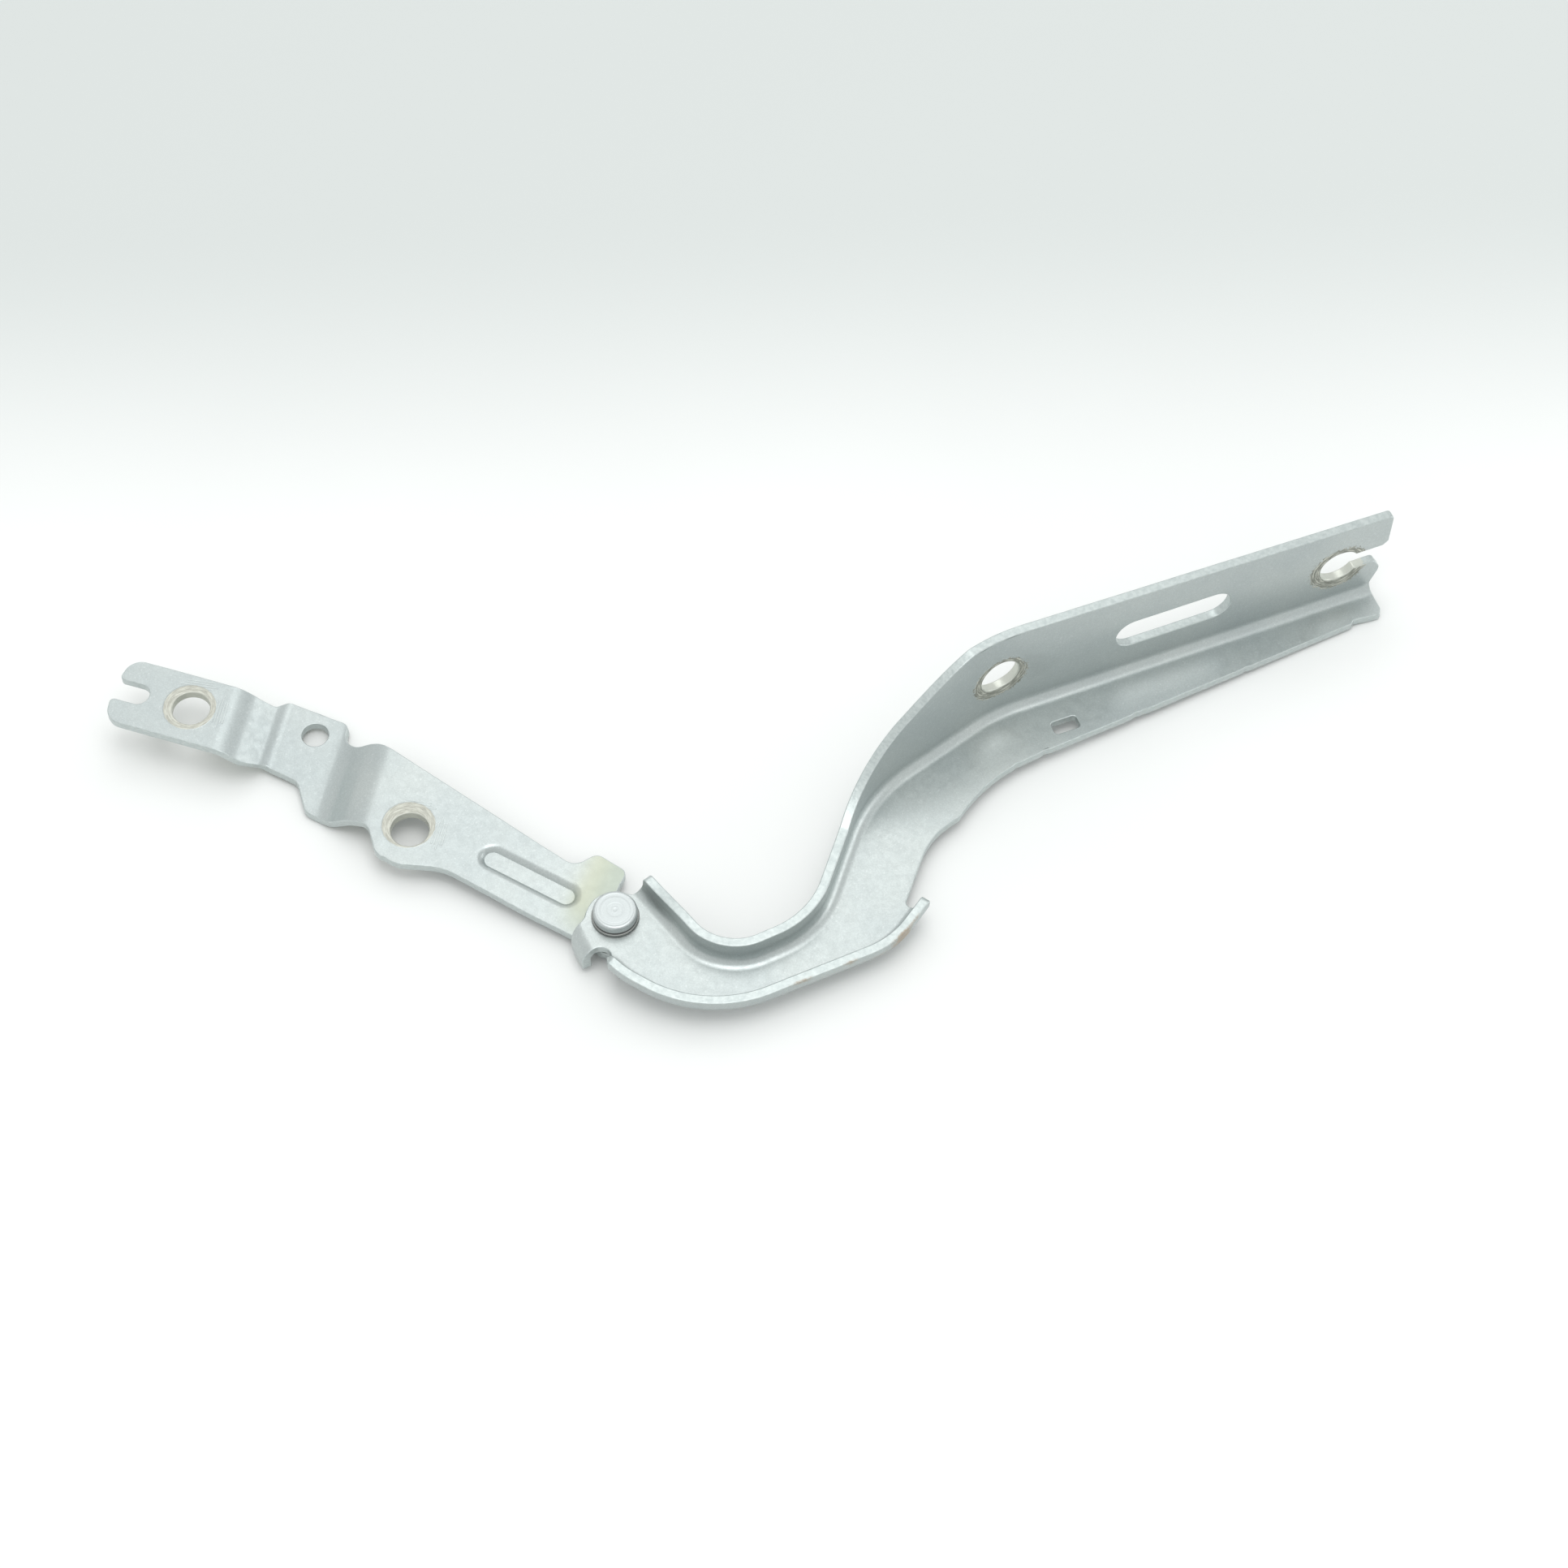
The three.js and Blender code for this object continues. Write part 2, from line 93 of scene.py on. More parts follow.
BEND_HEADING = math.radians(18)
FORK_HEADING = math.radians(12.4)
FORK_LEVEL = 0.9
STEP_LEVEL = -9.6
PIVOT_LEVEL = -MIDDLE
BRACKET_PROFILE = [
    (-220, FORK_LEVEL), (-131.8, FORK_LEVEL, 10), (-122.2, STEP_LEVEL, 8), (-97.6, STEP_LEVEL, 12),
    (-86.4, PIVOT_LEVEL, 14), (60, PIVOT_LEVEL),
]
BOLT_FORK = (-154.0, -0.2)
BOLT_PIVOT = (-72.2, -2.2)
BOLT_R = 5.9
LOCATING_HOLE = (-119.9, 16.1)
LOCATING_R = 4.15
FORK_REACH = 25.5
FORK_HALF_WIDTH = 11.9
SLOT_START = 14.2
SLOT_HALF_WIDTH = 3.7
BEAD = (-45.0, -19.0, 2.1)
BEAD_DEPTH = 1.6
BEAD_EDGE = (4.9, 3.1)

# each bend by the radius of the sheet's middle, and how far inside its line it starts
INNER_BEND_MIDDLE = 5.0
INNER_BEND_START = INNER_BEND_MIDDLE - MIDDLE
OUTER_BEND_MIDDLE = 4.0
OUTER_BEND_START = OUTER_BEND_MIDDLE + MIDDLE
OUTER_WALL = 4.7
HOOK_BEND_MIDDLE = 3.0
HOOK_BEND_START = HOOK_BEND_MIDDLE + MIDDLE
HOOK_LENGTH = 9.0
INNER_WALL_CORNERS = [(3.8, 11.4), (36.6, -1.6, 18), (54.7, 25.7, 30), (44, 74.5, 50)]
FLANGE_START = np.array([75.0, 136.9])
FLANGE_HEADING = math.radians(51.65)
FLANGE_END = 114.0
OUTER_WALL_CORNERS = [(6.4, -16.7), (13, -18.4, 30), (42.3, -19.3, 41), (78.7, 31.8, 30), (79.8, 47.4)]
HOOK_LINE = np.array([(-8.2, -12.0), (-0.9, -17.0)])
RELIEF_CENTRE = (3.3, -14.0)
RELIEF_R = 3.3
ROUND_HOLE = (-18.5, 20.0)
FLANGE_HOLE_R = 6.5
LONG_SLOT = (27.0, 54.0, 18.6)
LONG_SLOT_R = 6.0
KEYHOLE = (97.5, 18.0)
NECK_HALF_WIDTH = 3.7
WALL_START = -1.4

EDGE_R = 0.4
SHEARED_HALF = 0.45
LOOP_STEP = 0.6
FINE_STEP = 0.3
BLOCK = 4000
TURNED_SIDES = 128
TURNED_STEP = 0.12
TURNED_CORNER = 0.25


# ---------------------------------------------------------------- lines in plan
def unit(vector):
    """Vectors scaled to length 1."""
    return vector / np.maximum(np.linalg.norm(vector, axis=-1, keepdims=True), 1e-9)


def step_between(low, high, value):
    """0 up to low, 1 from high, and a smooth S between them: t squared times (3 - 2t)."""
    t = np.clip((value - low) / (high - low), 0, 1)
    return t * t * (3 - 2 * t)


def filleted(corners, closed=False):
    """Straights between corners (x, y, radius), each corner turned by an arc tangent to both sides."""
    parts = []
    for i, corner in enumerate(corners):
        here, radius = np.array(corner[:2], float), (*corner, 0.0)[2]
        if radius == 0 or (not closed and i in (0, len(corners) - 1)):
            parts.append(here[None])
            continue
        into = unit(here - np.array(corners[i - 1][:2], float))
        away = unit(np.array(corners[(i + 1) % len(corners)][:2], float) - here)
        turn = math.atan2(into[0] * away[1] - into[1] * away[0], into @ away)
        spoke = radius * math.copysign(1, turn) * np.array([into[1], -into[0]])
        centre = here - into * radius * math.tan(abs(turn) / 2) - spoke
        angle = np.linspace(0, turn, max(3, math.ceil(radius * abs(turn) / FINE_STEP)))
        cos, sin = np.cos(angle), np.sin(angle)
        parts.append(centre + np.stack([spoke[0] * cos - spoke[1] * sin, spoke[0] * sin + spoke[1] * cos], 1))
    return np.concatenate(parts)


def evenly(line, gap, closed=True):
    """Points the same distance apart along a line, about gap from one to the next."""
    if closed:
        line = np.vstack([line, line[:1]])
    run = np.concatenate([[0], np.cumsum(np.linalg.norm(np.diff(line, axis=0), axis=1))])
    at = np.linspace(0, run[-1], max(8, int(run[-1] / gap)) + 1)
    at = at[:-1] if closed else at
    return np.stack([np.interp(at, run, line[:, k]) for k in (0, 1)], 1)


def arc(centre, radius, start, end):
    """Points on a circle from one angle to another, in degrees."""
    length = radius * abs(math.radians(end - start))
    angle = np.radians(np.linspace(start, end, max(6, int(length / FINE_STEP))))
    return np.array(centre) + radius * np.stack([np.cos(angle), np.sin(angle)], 1)


def circle(centre, radius):
    """A closed circle."""
    return arc(centre, radius, 0, 360)[:-1]


def stadium(start, end, level, radius):
    """A closed slot with round ends, level along x."""
    return np.concatenate([arc((end, level), radius, -90, 90), arc((start, level), radius, 90, 270)])


def gaps_squared(points, others):
    """Squared distances in plan from each point to each of the others."""
    return (points[:, None, 0] - others[:, 0]) ** 2 + (points[:, None, 1] - others[:, 1]) ** 2


class Track:
    """A line in plan, read by the distance s along it and the distance v out to its left.
    It runs straight on past both ends."""

    LEAD = 90.0

    def __init__(self, line):
        line = evenly(line, FINE_STEP, closed=False)
        first, last = unit(line[1] - line[0]), unit(line[-1] - line[-2])
        self.line = np.vstack([line[0] - first * self.LEAD, line, line[-1] + last * self.LEAD])
        steps = np.diff(self.line, axis=0)
        run = np.concatenate([[0], np.cumsum(np.linalg.norm(steps, axis=1))])
        self.s = run - self.LEAD
        self.length = self.s[-1] - self.LEAD
        self.half = (self.s[1:] + self.s[:-1]) / 2
        self.turned = np.unwrap(np.arctan2(steps[:, 1], steps[:, 0]))

    def heading(self, s):
        return np.interp(s, self.half, self.turned)

    def place(self, s, v):
        angle = self.heading(s)
        x, y = (np.interp(s, self.s, self.line[:, k]) for k in (0, 1))
        return np.stack([x - v * np.sin(angle), y + v * np.cos(angle)], -1)

    def locate(self, points):
        """The (s, v) of points in plan: the nearest sample of the line, then steps along its tangent,
        each divided by one minus curvature times distance."""
        samples = np.arange(self.s[0], self.s[-1], FINE_STEP * 2)
        line = self.place(samples, np.zeros_like(samples))
        near = np.empty(len(points))
        for start in range(0, len(points), BLOCK):
            away = gaps_squared(points[start : start + BLOCK], line)
            near[start : start + BLOCK] = samples[away.argmin(1)]
        for _ in range(6):
            angle = self.heading(near)
            gap = points - self.place(near, np.zeros_like(near))
            away = gap[:, 1] * np.cos(angle) - gap[:, 0] * np.sin(angle)
            bend = (self.heading(near + 0.5) - self.heading(near - 0.5)) * away
            near = near + (gap[:, 0] * np.cos(angle) + gap[:, 1] * np.sin(angle)) / np.maximum(1 - bend, 0.3)
        return near, away


def inside(points, loop):
    """Whether points lie in a closed loop: a ray to the right crosses the loop an odd number of times."""
    nxt = np.roll(loop, -1, 0)
    result = np.zeros(len(points), bool)
    for start in range(0, len(points), BLOCK):
        x, y = points[start : start + BLOCK].T
        crosses = (loop[None, :, 1] > y[:, None]) != (nxt[None, :, 1] > y[:, None])
        rise = np.where(nxt[:, 1] == loop[:, 1], 1e-12, nxt[:, 1] - loop[:, 1])
        at = loop[:, 0] + (y[:, None] - loop[:, 1]) * (nxt[:, 0] - loop[:, 0]) / rise
        result[start : start + BLOCK] = ((crosses & (x[:, None] < at)).sum(1) % 2) == 1
    return result


def gap_to(points, loops):
    """Distance from each point to the nearest point of some loops."""
    edge = np.concatenate(loops)
    best = np.empty(len(points))
    for start in range(0, len(points), BLOCK):
        away = gaps_squared(points[start : start + BLOCK], edge)
        best[start : start + BLOCK] = np.sqrt(away.min(1))
    return best


def area(loop):
    """Area inside a closed loop, positive where it runs anticlockwise."""
    nxt = np.roll(loop, -1, 0)
    return float((loop[:, 0] * nxt[:, 1] - nxt[:, 0] * loop[:, 1]).sum() / 2)


def ripple(points, size, seed):
    """Smooth unevenness from -1 to 1: random values at the corners of a cubic grid, blended between them."""
    cell = points / size
    low = np.floor(cell).astype(np.int64)
    t = cell - low
    t = t * t * (3 - 2 * t)
    total = np.zeros(len(points))
    for corner in np.ndindex(2, 2, 2):
        at = low + np.array(corner)
        mixed = at[:, 0] * 73856093 ^ at[:, 1] * 19349663 ^ at[:, 2] * 83492791 ^ seed * 2654435761
        value = ((mixed * 1103515245 + 12345) >> 8) & 0xFFFF
        weight = np.prod(np.where(np.array(corner) == 1, t, 1 - t), 1)
        total += weight * (value / 32767.5 - 1)
    return total


# ---------------------------------------------------------------- meshes
def make_piece(name, points, faces, normals, attributes, material):
    """A mesh object at the origin from points in millimetres round the pivot."""
    mesh = bpy.data.meshes.new(name)
    mesh.from_pydata((points * MM + PIVOT).tolist(), [], faces)
    mesh.polygons.foreach_set("use_smooth", np.ones(len(mesh.polygons), bool))
    for key, values in attributes.items():
        layer = mesh.attributes.new(key, "FLOAT", "POINT")
        layer.data.foreach_set("value", values.astype(np.float32))
    mesh.update()
    mesh.normals_split_custom_set_from_vertices(unit(normals).tolist())
    piece = bpy.data.objects.new(name, mesh)
    bpy.context.scene.collection.objects.link(piece)
    mesh.materials.append(material)
    return piece


def surface(place, domain):
    """Points and unit normals of a surface: the normal is the cross product of its two slopes."""
    nudge = 0.08
    here = place(domain)
    ahead, behind = place(domain + [nudge, 0]), place(domain - [nudge, 0])
    left, right = place(domain + [0, nudge]), place(domain - [0, nudge])
    return here, unit(np.cross(ahead - behind, left - right))


def stamping(name, place, loops, fill, nicks, colours, material):
    """A sheet of even thickness. Its middle is the surface place(a, b) inside the first loop and outside
    the others, its faces stand half the thickness to each side along the normal, and its rim is a
    profile carried round every loop: a quarter circle, a sheared side, and another quarter circle."""
    loops = [evenly(loop, LOOP_STEP) for loop in loops]
    loops = [loop if (area(loop) > 0) == (i == 0) else loop[::-1] for i, loop in enumerate(loops)]
    keep = inside(fill, loops[0])
    for hole in loops[1:]:
        keep &= ~inside(fill, hole)
    fill = fill[keep]
    fill = fill[gap_to(fill, loops) > LOOP_STEP * 1.1]
    domain = np.concatenate([*loops, fill])

    starts = np.cumsum([0] + [len(loop) for loop in loops])
    edges = [
        (a + i, a + (i + 1) % (b - a)) for a, b in zip(starts[:-1], starts[1:]) for i in range(b - a)
    ]
    cut = delaunay_2d_cdt([Vector(p) for p in domain.tolist()], edges, [], 0, 1e-5, True)
    source = np.array([ids[0] if ids else -1 for ids in cut[3]])
    triangles = source[np.array([f for f in cut[2] if len(f) == 3])]
    centres = domain[triangles].mean(1)
    keep = inside(centres, loops[0]) & (triangles.min(1) >= 0)
    for hole in loops[1:]:
        keep &= ~inside(centres, hole)
    triangles = triangles[keep]

    middle, normal = surface(place, domain)
    count, edge_count = len(domain), starts[-1]
    out = np.zeros((edge_count, 3))
    for a, b in zip(starts[:-1], starts[1:]):
        run = np.roll(middle[a:b], -1, 0) - np.roll(middle[a:b], 1, 0)
        out[a:b] = unit(np.cross(run, normal[a:b]))
    rim, face_out = middle[:edge_count], normal[:edge_count]
    worn = 0.05 * ripple(rim, 2.2, 3) + 0.04 * ripple(rim, 7, 5)
    for x, y, z, width, depth in nicks:
        away = np.linalg.norm(rim - [x, y, z], axis=1)
        worn = worn - depth * np.exp(-((away / width) ** 4))
    rim = rim + out * worn[:, None]

    quarter = np.linspace(0, math.pi / 2, 4)
    insets = [EDGE_R * (1 - math.sin(t)) for t in quarter]
    heights = [MIDDLE - EDGE_R * (1 - math.cos(t)) for t in quarter]
    tilts = list(quarter)
    sides = [SHEARED_HALF, -SHEARED_HALF]
    insets = insets + [0.0, 0.0] + insets[::-1]
    heights = heights + sides + [-h for h in heights[::-1]]
    tilts = tilts + [math.pi / 2] * len(sides) + [math.pi - t for t in tilts[::-1]]

    upper, lower = middle + normal * MIDDLE, middle - normal * MIDDLE
    upper[:edge_count] = rim + face_out * MIDDLE - out * EDGE_R
    lower[:edge_count] = rim - face_out * MIDDLE - out * EDGE_R
    points, normals = [upper, lower], [normal, -normal]
    tear = 0.06 * ripple(rim, 1.3, 11)
    for inset, height, tilt in list(zip(insets, heights, tilts))[1:-1]:
        rough = tear * (1 if abs(height) < 1 else 0)
        points.append(rim + face_out * height + out * (rough - inset)[:, None])
        normals.append(face_out * math.cos(tilt) + out * math.sin(tilt))
    rows = len(heights)

    index = np.arange(edge_count)
    after = index + 1
    after[starts[1:] - 1] = starts[:-1]
    ring = [index] + [2 * count + k * edge_count + index for k in range(rows - 2)] + [count + index]
    quads = [
        np.stack([top, bottom, bottom[after], top[after]], 1) for top, bottom in zip(ring[:-1], ring[1:])
    ]
    faces = [*triangles.tolist(), *(triangles[:, ::-1] + count).tolist(), *np.concatenate(quads).tolist()]
    points, normals = np.concatenate(points), np.concatenate(normals)
    blank = np.zeros(edge_count)
    layers = {
        "upper": [np.ones(count), np.zeros(count)] + [blank + (h > 0.5) for h in heights[1:-1]],
        "rim": [np.r_[blank, np.zeros(count - edge_count)]] * 2 + [blank + 1.0] * (rows - 2),
    }
    layers = {key: np.concatenate(parts) for key, parts in layers.items()}
    layers.update(colours(points, layers["upper"]))
    return make_piece(name, points, faces, normals, layers, material)


def carried_round(part):
    """Points (radius, height) carried round the pivot axis, one copy for each side."""
    angle = np.linspace(0, 2 * math.pi, TURNED_SIDES, endpoint=False)[:, None]
    x, y = part[:, 0] * np.cos(angle), part[:, 0] * np.sin(angle)
    return np.stack([x, y, part[:, 1] + 0 * angle], 2).reshape(-1, 3)


def next_copy(ids, many):
    """The same points on the next copy of a profile of so many points."""
    return (ids + many) % (TURNED_SIDES * many)


def turned_ring(name, profile, material):
    """A turned piece round the pivot: a closed profile (radius, height) with rounded corners, carried
    round the axis. Its normals are the profile's own, turned with it."""
    rounded = [(*p[:2], (*p, TURNED_CORNER)[2]) for p in profile]
    profile = evenly(filleted(rounded, closed=True), TURNED_STEP)
    way = 1 if area(profile) > 0 else -1
    ahead = np.roll(profile, -1, 0) - np.roll(profile, 1, 0)
    side = unit(np.stack([ahead[:, 1], -ahead[:, 0]], 1)) * way
    many = len(profile)
    copies = np.arange(TURNED_SIDES)[:, None] * many
    a = (copies + np.arange(many)).ravel()
    b = (copies + (np.arange(many) + 1) % many).ravel()
    quads = np.stack([a, next_copy(a, many), next_copy(b, many), b], 1)[:, ::way]
    return make_piece(name, carried_round(profile), quads.tolist(), carried_round(side), {}, material)


def dome(name, profile, material):
    """A turned solid piece round the pivot: an open profile (radius, height) from the axis below to the
    axis above, carried round the axis, with one point closing it at each end."""
    profile = evenly(filleted(profile), TURNED_STEP, closed=False)
    inner = profile[1:-1]
    ahead = profile[2:] - profile[:-2]
    side = unit(np.stack([ahead[:, 1], -ahead[:, 0]], 1))
    points = np.vstack([carried_round(inner), [0, 0, profile[0, 1]], [0, 0, profile[-1, 1]]])
    normals = np.vstack([carried_round(side), [0, 0, -1], [0, 0, 1]])
    many = len(inner)
    first = np.arange(TURNED_SIDES) * many
    last = first + many - 1
    a = (first[:, None] + np.arange(many - 1)).ravel()
    quads = np.stack([a, next_copy(a, many), next_copy(a, many) + 1, a + 1], 1)
    bottom = np.full(TURNED_SIDES, TURNED_SIDES * many)
    low = np.stack([bottom, next_copy(first, many), first], 1)
    high = np.stack([bottom + 1, last, next_copy(last, many)], 1)
    faces = [*quads.tolist(), *low.tolist(), *high.tolist()]
    return make_piece(name, points, faces, normals, {}, material)


# ---------------------------------------------------------------- bracket
FORK_WAY = np.array([math.cos(FORK_HEADING), math.sin(FORK_HEADING)])
FORK_SIDE = np.array([-FORK_WAY[1], FORK_WAY[0]])
PROFILE_LINE = filleted(BRACKET_PROFILE)


def fork_corner(along, across, radius=0.0):
    """A corner of the fork by distance along its middle line and across it, from its bolt hole."""
    x, y = FORK_WAY * along + FORK_SIDE * across + BOLT_FORK
    return (x, y, radius)


def from_bead(x, y):
    """Distance from the middle line of the long bead."""
    start, end, level = BEAD
    return np.hypot(x - np.clip(x, start, end), y - level)


def bead_depth(x, y):
    """Depth of the long bead: nothing past its edge, then a smooth fall to its flat floor."""
    return BEAD_DEPTH * (1 - step_between(BEAD_EDGE[1], BEAD_EDGE[0], from_bead(x, y)))


def across_bends(x, y):
    """Distance along the bracket, square to its bends."""
    return x * math.cos(BEND_HEADING) + y * math.sin(BEND_HEADING)


def place_bracket(domain):
    """Middle of the bracket: its profile carried square to the bends, lowered in the bead."""
    x, y = domain.T
    z = np.interp(across_bends(x, y), PROFILE_LINE[:, 0], PROFILE_LINE[:, 1]) - bead_depth(x, y)
    return np.stack([x, y, z], 1)


def bracket_loops():
    """The outline of the bracket in plan, anticlockwise from the fork, and its holes."""
    lower = [
        fork_corner(-FORK_REACH + 1, FORK_HALF_WIDTH, 5.5), fork_corner(-FORK_REACH, SLOT_HALF_WIDTH, 1.4),
        fork_corner(-SLOT_START, SLOT_HALF_WIDTH, 3.6), fork_corner(-SLOT_START, -SLOT_HALF_WIDTH, 3.6),
        fork_corner(-FORK_REACH, -SLOT_HALF_WIDTH, 1.4),
        fork_corner(-FORK_REACH + 1.5, -FORK_HALF_WIDTH, 5.5),
        (-132.5, -7.8, 7), (-128, -1.5, 3.5), (-115.2, -1.1, 4), (-107, -9, 4), (-97.5, -9.3, 9),
        (-84.5, -7, 5), (-76.5, -14.8, 6), (-68.5, -14.4, 6), (-56, -8.6, 20), (-25, -9.5, 30), (-8, -9.3),
    ]
    upper = [
        (-6, 10, 1), (-7, 18.3, 2.6), (-18.4, 19.2, 3.2), (-22, 11.9, 5), (-97.5, 20.3, 12),
        (-103.8, 17.8, 6), (-110.6, 18.8, 5), (-112.6, 24.7, 3), (-134.3, 22.3, 3.5),
        (-136.4, 17.4, 3), (-141, 14.7, 14),
    ]
    outline = np.concatenate([
        filleted([fork_corner(0, FORK_HALF_WIDTH), *lower])[1:],
        arc((0, 0), BRACKET_END_R, -96, 118),
        filleted([(-5.2, 9), *upper, fork_corner(0, FORK_HALF_WIDTH)]),
    ])
    return [
        outline, circle(BOLT_FORK, BOLT_R), circle(BOLT_PIVOT, BOLT_R),
        circle(LOCATING_HOLE, LOCATING_R), circle((0, 0), BRACKET_PIVOT_HOLE_R),
    ]


def bracket_fill():
    """Points to carry the faces: a grid square to the bends, closer together in the bends and the bead."""
    flats = np.arange(-200, 40, 1.7)
    bends = np.concatenate([np.arange(-136, -118, 0.6), np.arange(-101, -82, 0.6)])
    flats = flats[np.abs(flats[:, None] - bends).min(1) > 0.9]
    u, v = np.meshgrid(np.sort(np.concatenate([flats, bends])), np.arange(-40, 70, 1.7))
    cos, sin = math.cos(BEND_HEADING), math.sin(BEND_HEADING)
    grid = np.stack([(u * cos - v * sin).ravel(), (u * sin + v * cos).ravel()], 1)
    away = from_bead(*grid.T)
    radii = np.arange(1.6, 6.0, 0.4)
    rings = [evenly(stadium(*BEAD, r), 0.9) for r in radii]
    return np.concatenate([grid[away > radii[-1] + 0.6], grid[away < radii[0] - 0.6], *rings])


def bracket_colours(points, upper):
    """Where the paint is thin and greenish: the tab by the pivot, and most of the fork end underneath.
    It is stained where the thin paint ends, and coarse under the joggle, with more painted glints there."""
    x, y = points[:, 0], points[:, 1]
    drift = 2 * ripple(points, 9, 21)
    tab = step_between(-24, -13, x + drift) * step_between(-9, 8, y + 0.4 * x + 10 + drift)
    under = (1 - step_between(-92, -80, x + 0.3 * y + drift)) * (1 - upper)
    warm = np.exp(-(((x + 13 + 0.2 * y) / 4) ** 2)) * step_between(-10, 4, y) * upper
    # under the joggle: coarse lumps in the bump, and more painted glints in the colour
    slope = np.exp(-(((across_bends(x, y) + 92) / 5.5) ** 2))
    return {"thin": np.maximum(tab * upper, 0.8 * under), "warm": warm, "grainy": slope * (1 - upper)}


# ---------------------------------------------------------------- arm
FLANGE_WAY = np.array([math.cos(FLANGE_HEADING), math.sin(FLANGE_HEADING)])
FLANGE_SIDE = np.array([FLANGE_WAY[1], -FLANGE_WAY[0]])


def web_corner(along, out, radius=0.0):
    """A corner of the web by distance along the bonnet flange and distance out from it."""
    x, y = FLANGE_START + FLANGE_WAY * along + FLANGE_SIDE * out
    return (x, y, radius)


INNER = Track(filleted([*INNER_WALL_CORNERS, web_corner(-20, 0, 60), web_corner(FLANGE_END, 0)]))
OUTER_EDGE = Track(filleted(OUTER_WALL_CORNERS))
OUTER = Track(OUTER_EDGE.place(np.linspace(0, OUTER_EDGE.length, 400), np.full(400, OUTER_BEND_START)))
HOOK_WAY = unit(HOOK_LINE[1] - HOOK_LINE[0])
HOOK = Track(HOOK_LINE + np.array([-HOOK_WAY[1], HOOK_WAY[0]]) * HOOK_BEND_START)
FLANGE_S = float(INNER.locate(FLANGE_START[None])[0][0])
WALL_ZERO = INNER_BEND_MIDDLE * math.pi / 2 - 2 * INNER_BEND_START


def rolled(plan, z, track, radius, way, share):
    """Rolls what lies to the right of a line round a bend, then straight up (way 1) or down (way -1).
    Past the line, the distance is an angle times the radius, and the rest is height."""
    s, v = track.locate(plan)
    reach = np.maximum(-v, 0)
    angle = np.minimum(reach / radius, math.pi / 2)
    straight = reach - angle * radius
    moved = track.place(s, -radius * np.sin(angle))
    part = share(s) * (reach > 0)
    rise = radius * (1 - np.cos(angle)) + straight
    return plan + part[:, None] * (moved - plan), z + part * way * rise


def place_arm(domain):
    """Middle of the arm by distance s along the inner wall and v out to its left: flat web up to the
    bend, a quarter circle, then a straight wall, with the outer wall and the hook rolled the same way."""
    s, v = domain.T
    beyond = np.maximum(v + INNER_BEND_START, 0)
    angle = np.minimum(beyond / INNER_BEND_MIDDLE, math.pi / 2)
    straight = beyond - angle * INNER_BEND_MIDDLE
    plan = INNER.place(s, np.minimum(v, -INNER_BEND_START) + INNER_BEND_MIDDLE * np.sin(angle))
    z = WEB_MIDDLE + INNER_BEND_MIDDLE * (1 - np.cos(angle)) + straight
    web = v < -INNER_BEND_START
    outer_share = lambda at: step_between(-2.5, 1.2, at) * (at < OUTER.length + 6) * web
    hook_share = lambda at: ((at > -7) & (at < HOOK.length + 1.6)) * web
    plan, z = rolled(plan, z, OUTER, OUTER_BEND_MIDDLE, 1, outer_share)
    plan, z = rolled(plan, z, HOOK, HOOK_BEND_MIDDLE, -1, hook_share)
    return np.column_stack([plan, z])


def wall_top(s):
    """Height of the inner wall above the web: a low lip, a ramp half straight and half eased, then a
    flange that falls slowly to its end."""
    lip = 7 + 1.5 * step_between(0, 20, s)
    rise = np.clip((s - 94) / 58, 0, 1)
    eased = (rise + rise * rise * (3 - 2 * rise)) / 2
    return lip + 31 * eased - 3.5 * np.clip((s - 152) / 144, 0, 1)


def wall_v(height):
    """Distance out in the flat sheet of a point at a height above the web."""
    return height + WALL_ZERO


def to_sheet(plan):
    """Points of the flat web as (s, v) of the inner wall's line."""
    s, v = INNER.locate(np.asarray(plan, float))
    return np.stack([s, v], 1)


def outer_corner(along, beyond, radius=0.0):
    """A corner by distance along the outer wall's bend and out past its start."""
    x, y = OUTER.place(np.array([along]), np.array([-beyond]))[0]
    return (x, y, radius)


def hook_corner(along, beyond, radius=0.0):
    """A corner by distance along the hook's bend and out past its start."""
    x, y = HOOK.place(np.array([along]), np.array([-beyond]))[0]
    return (x, y, radius)


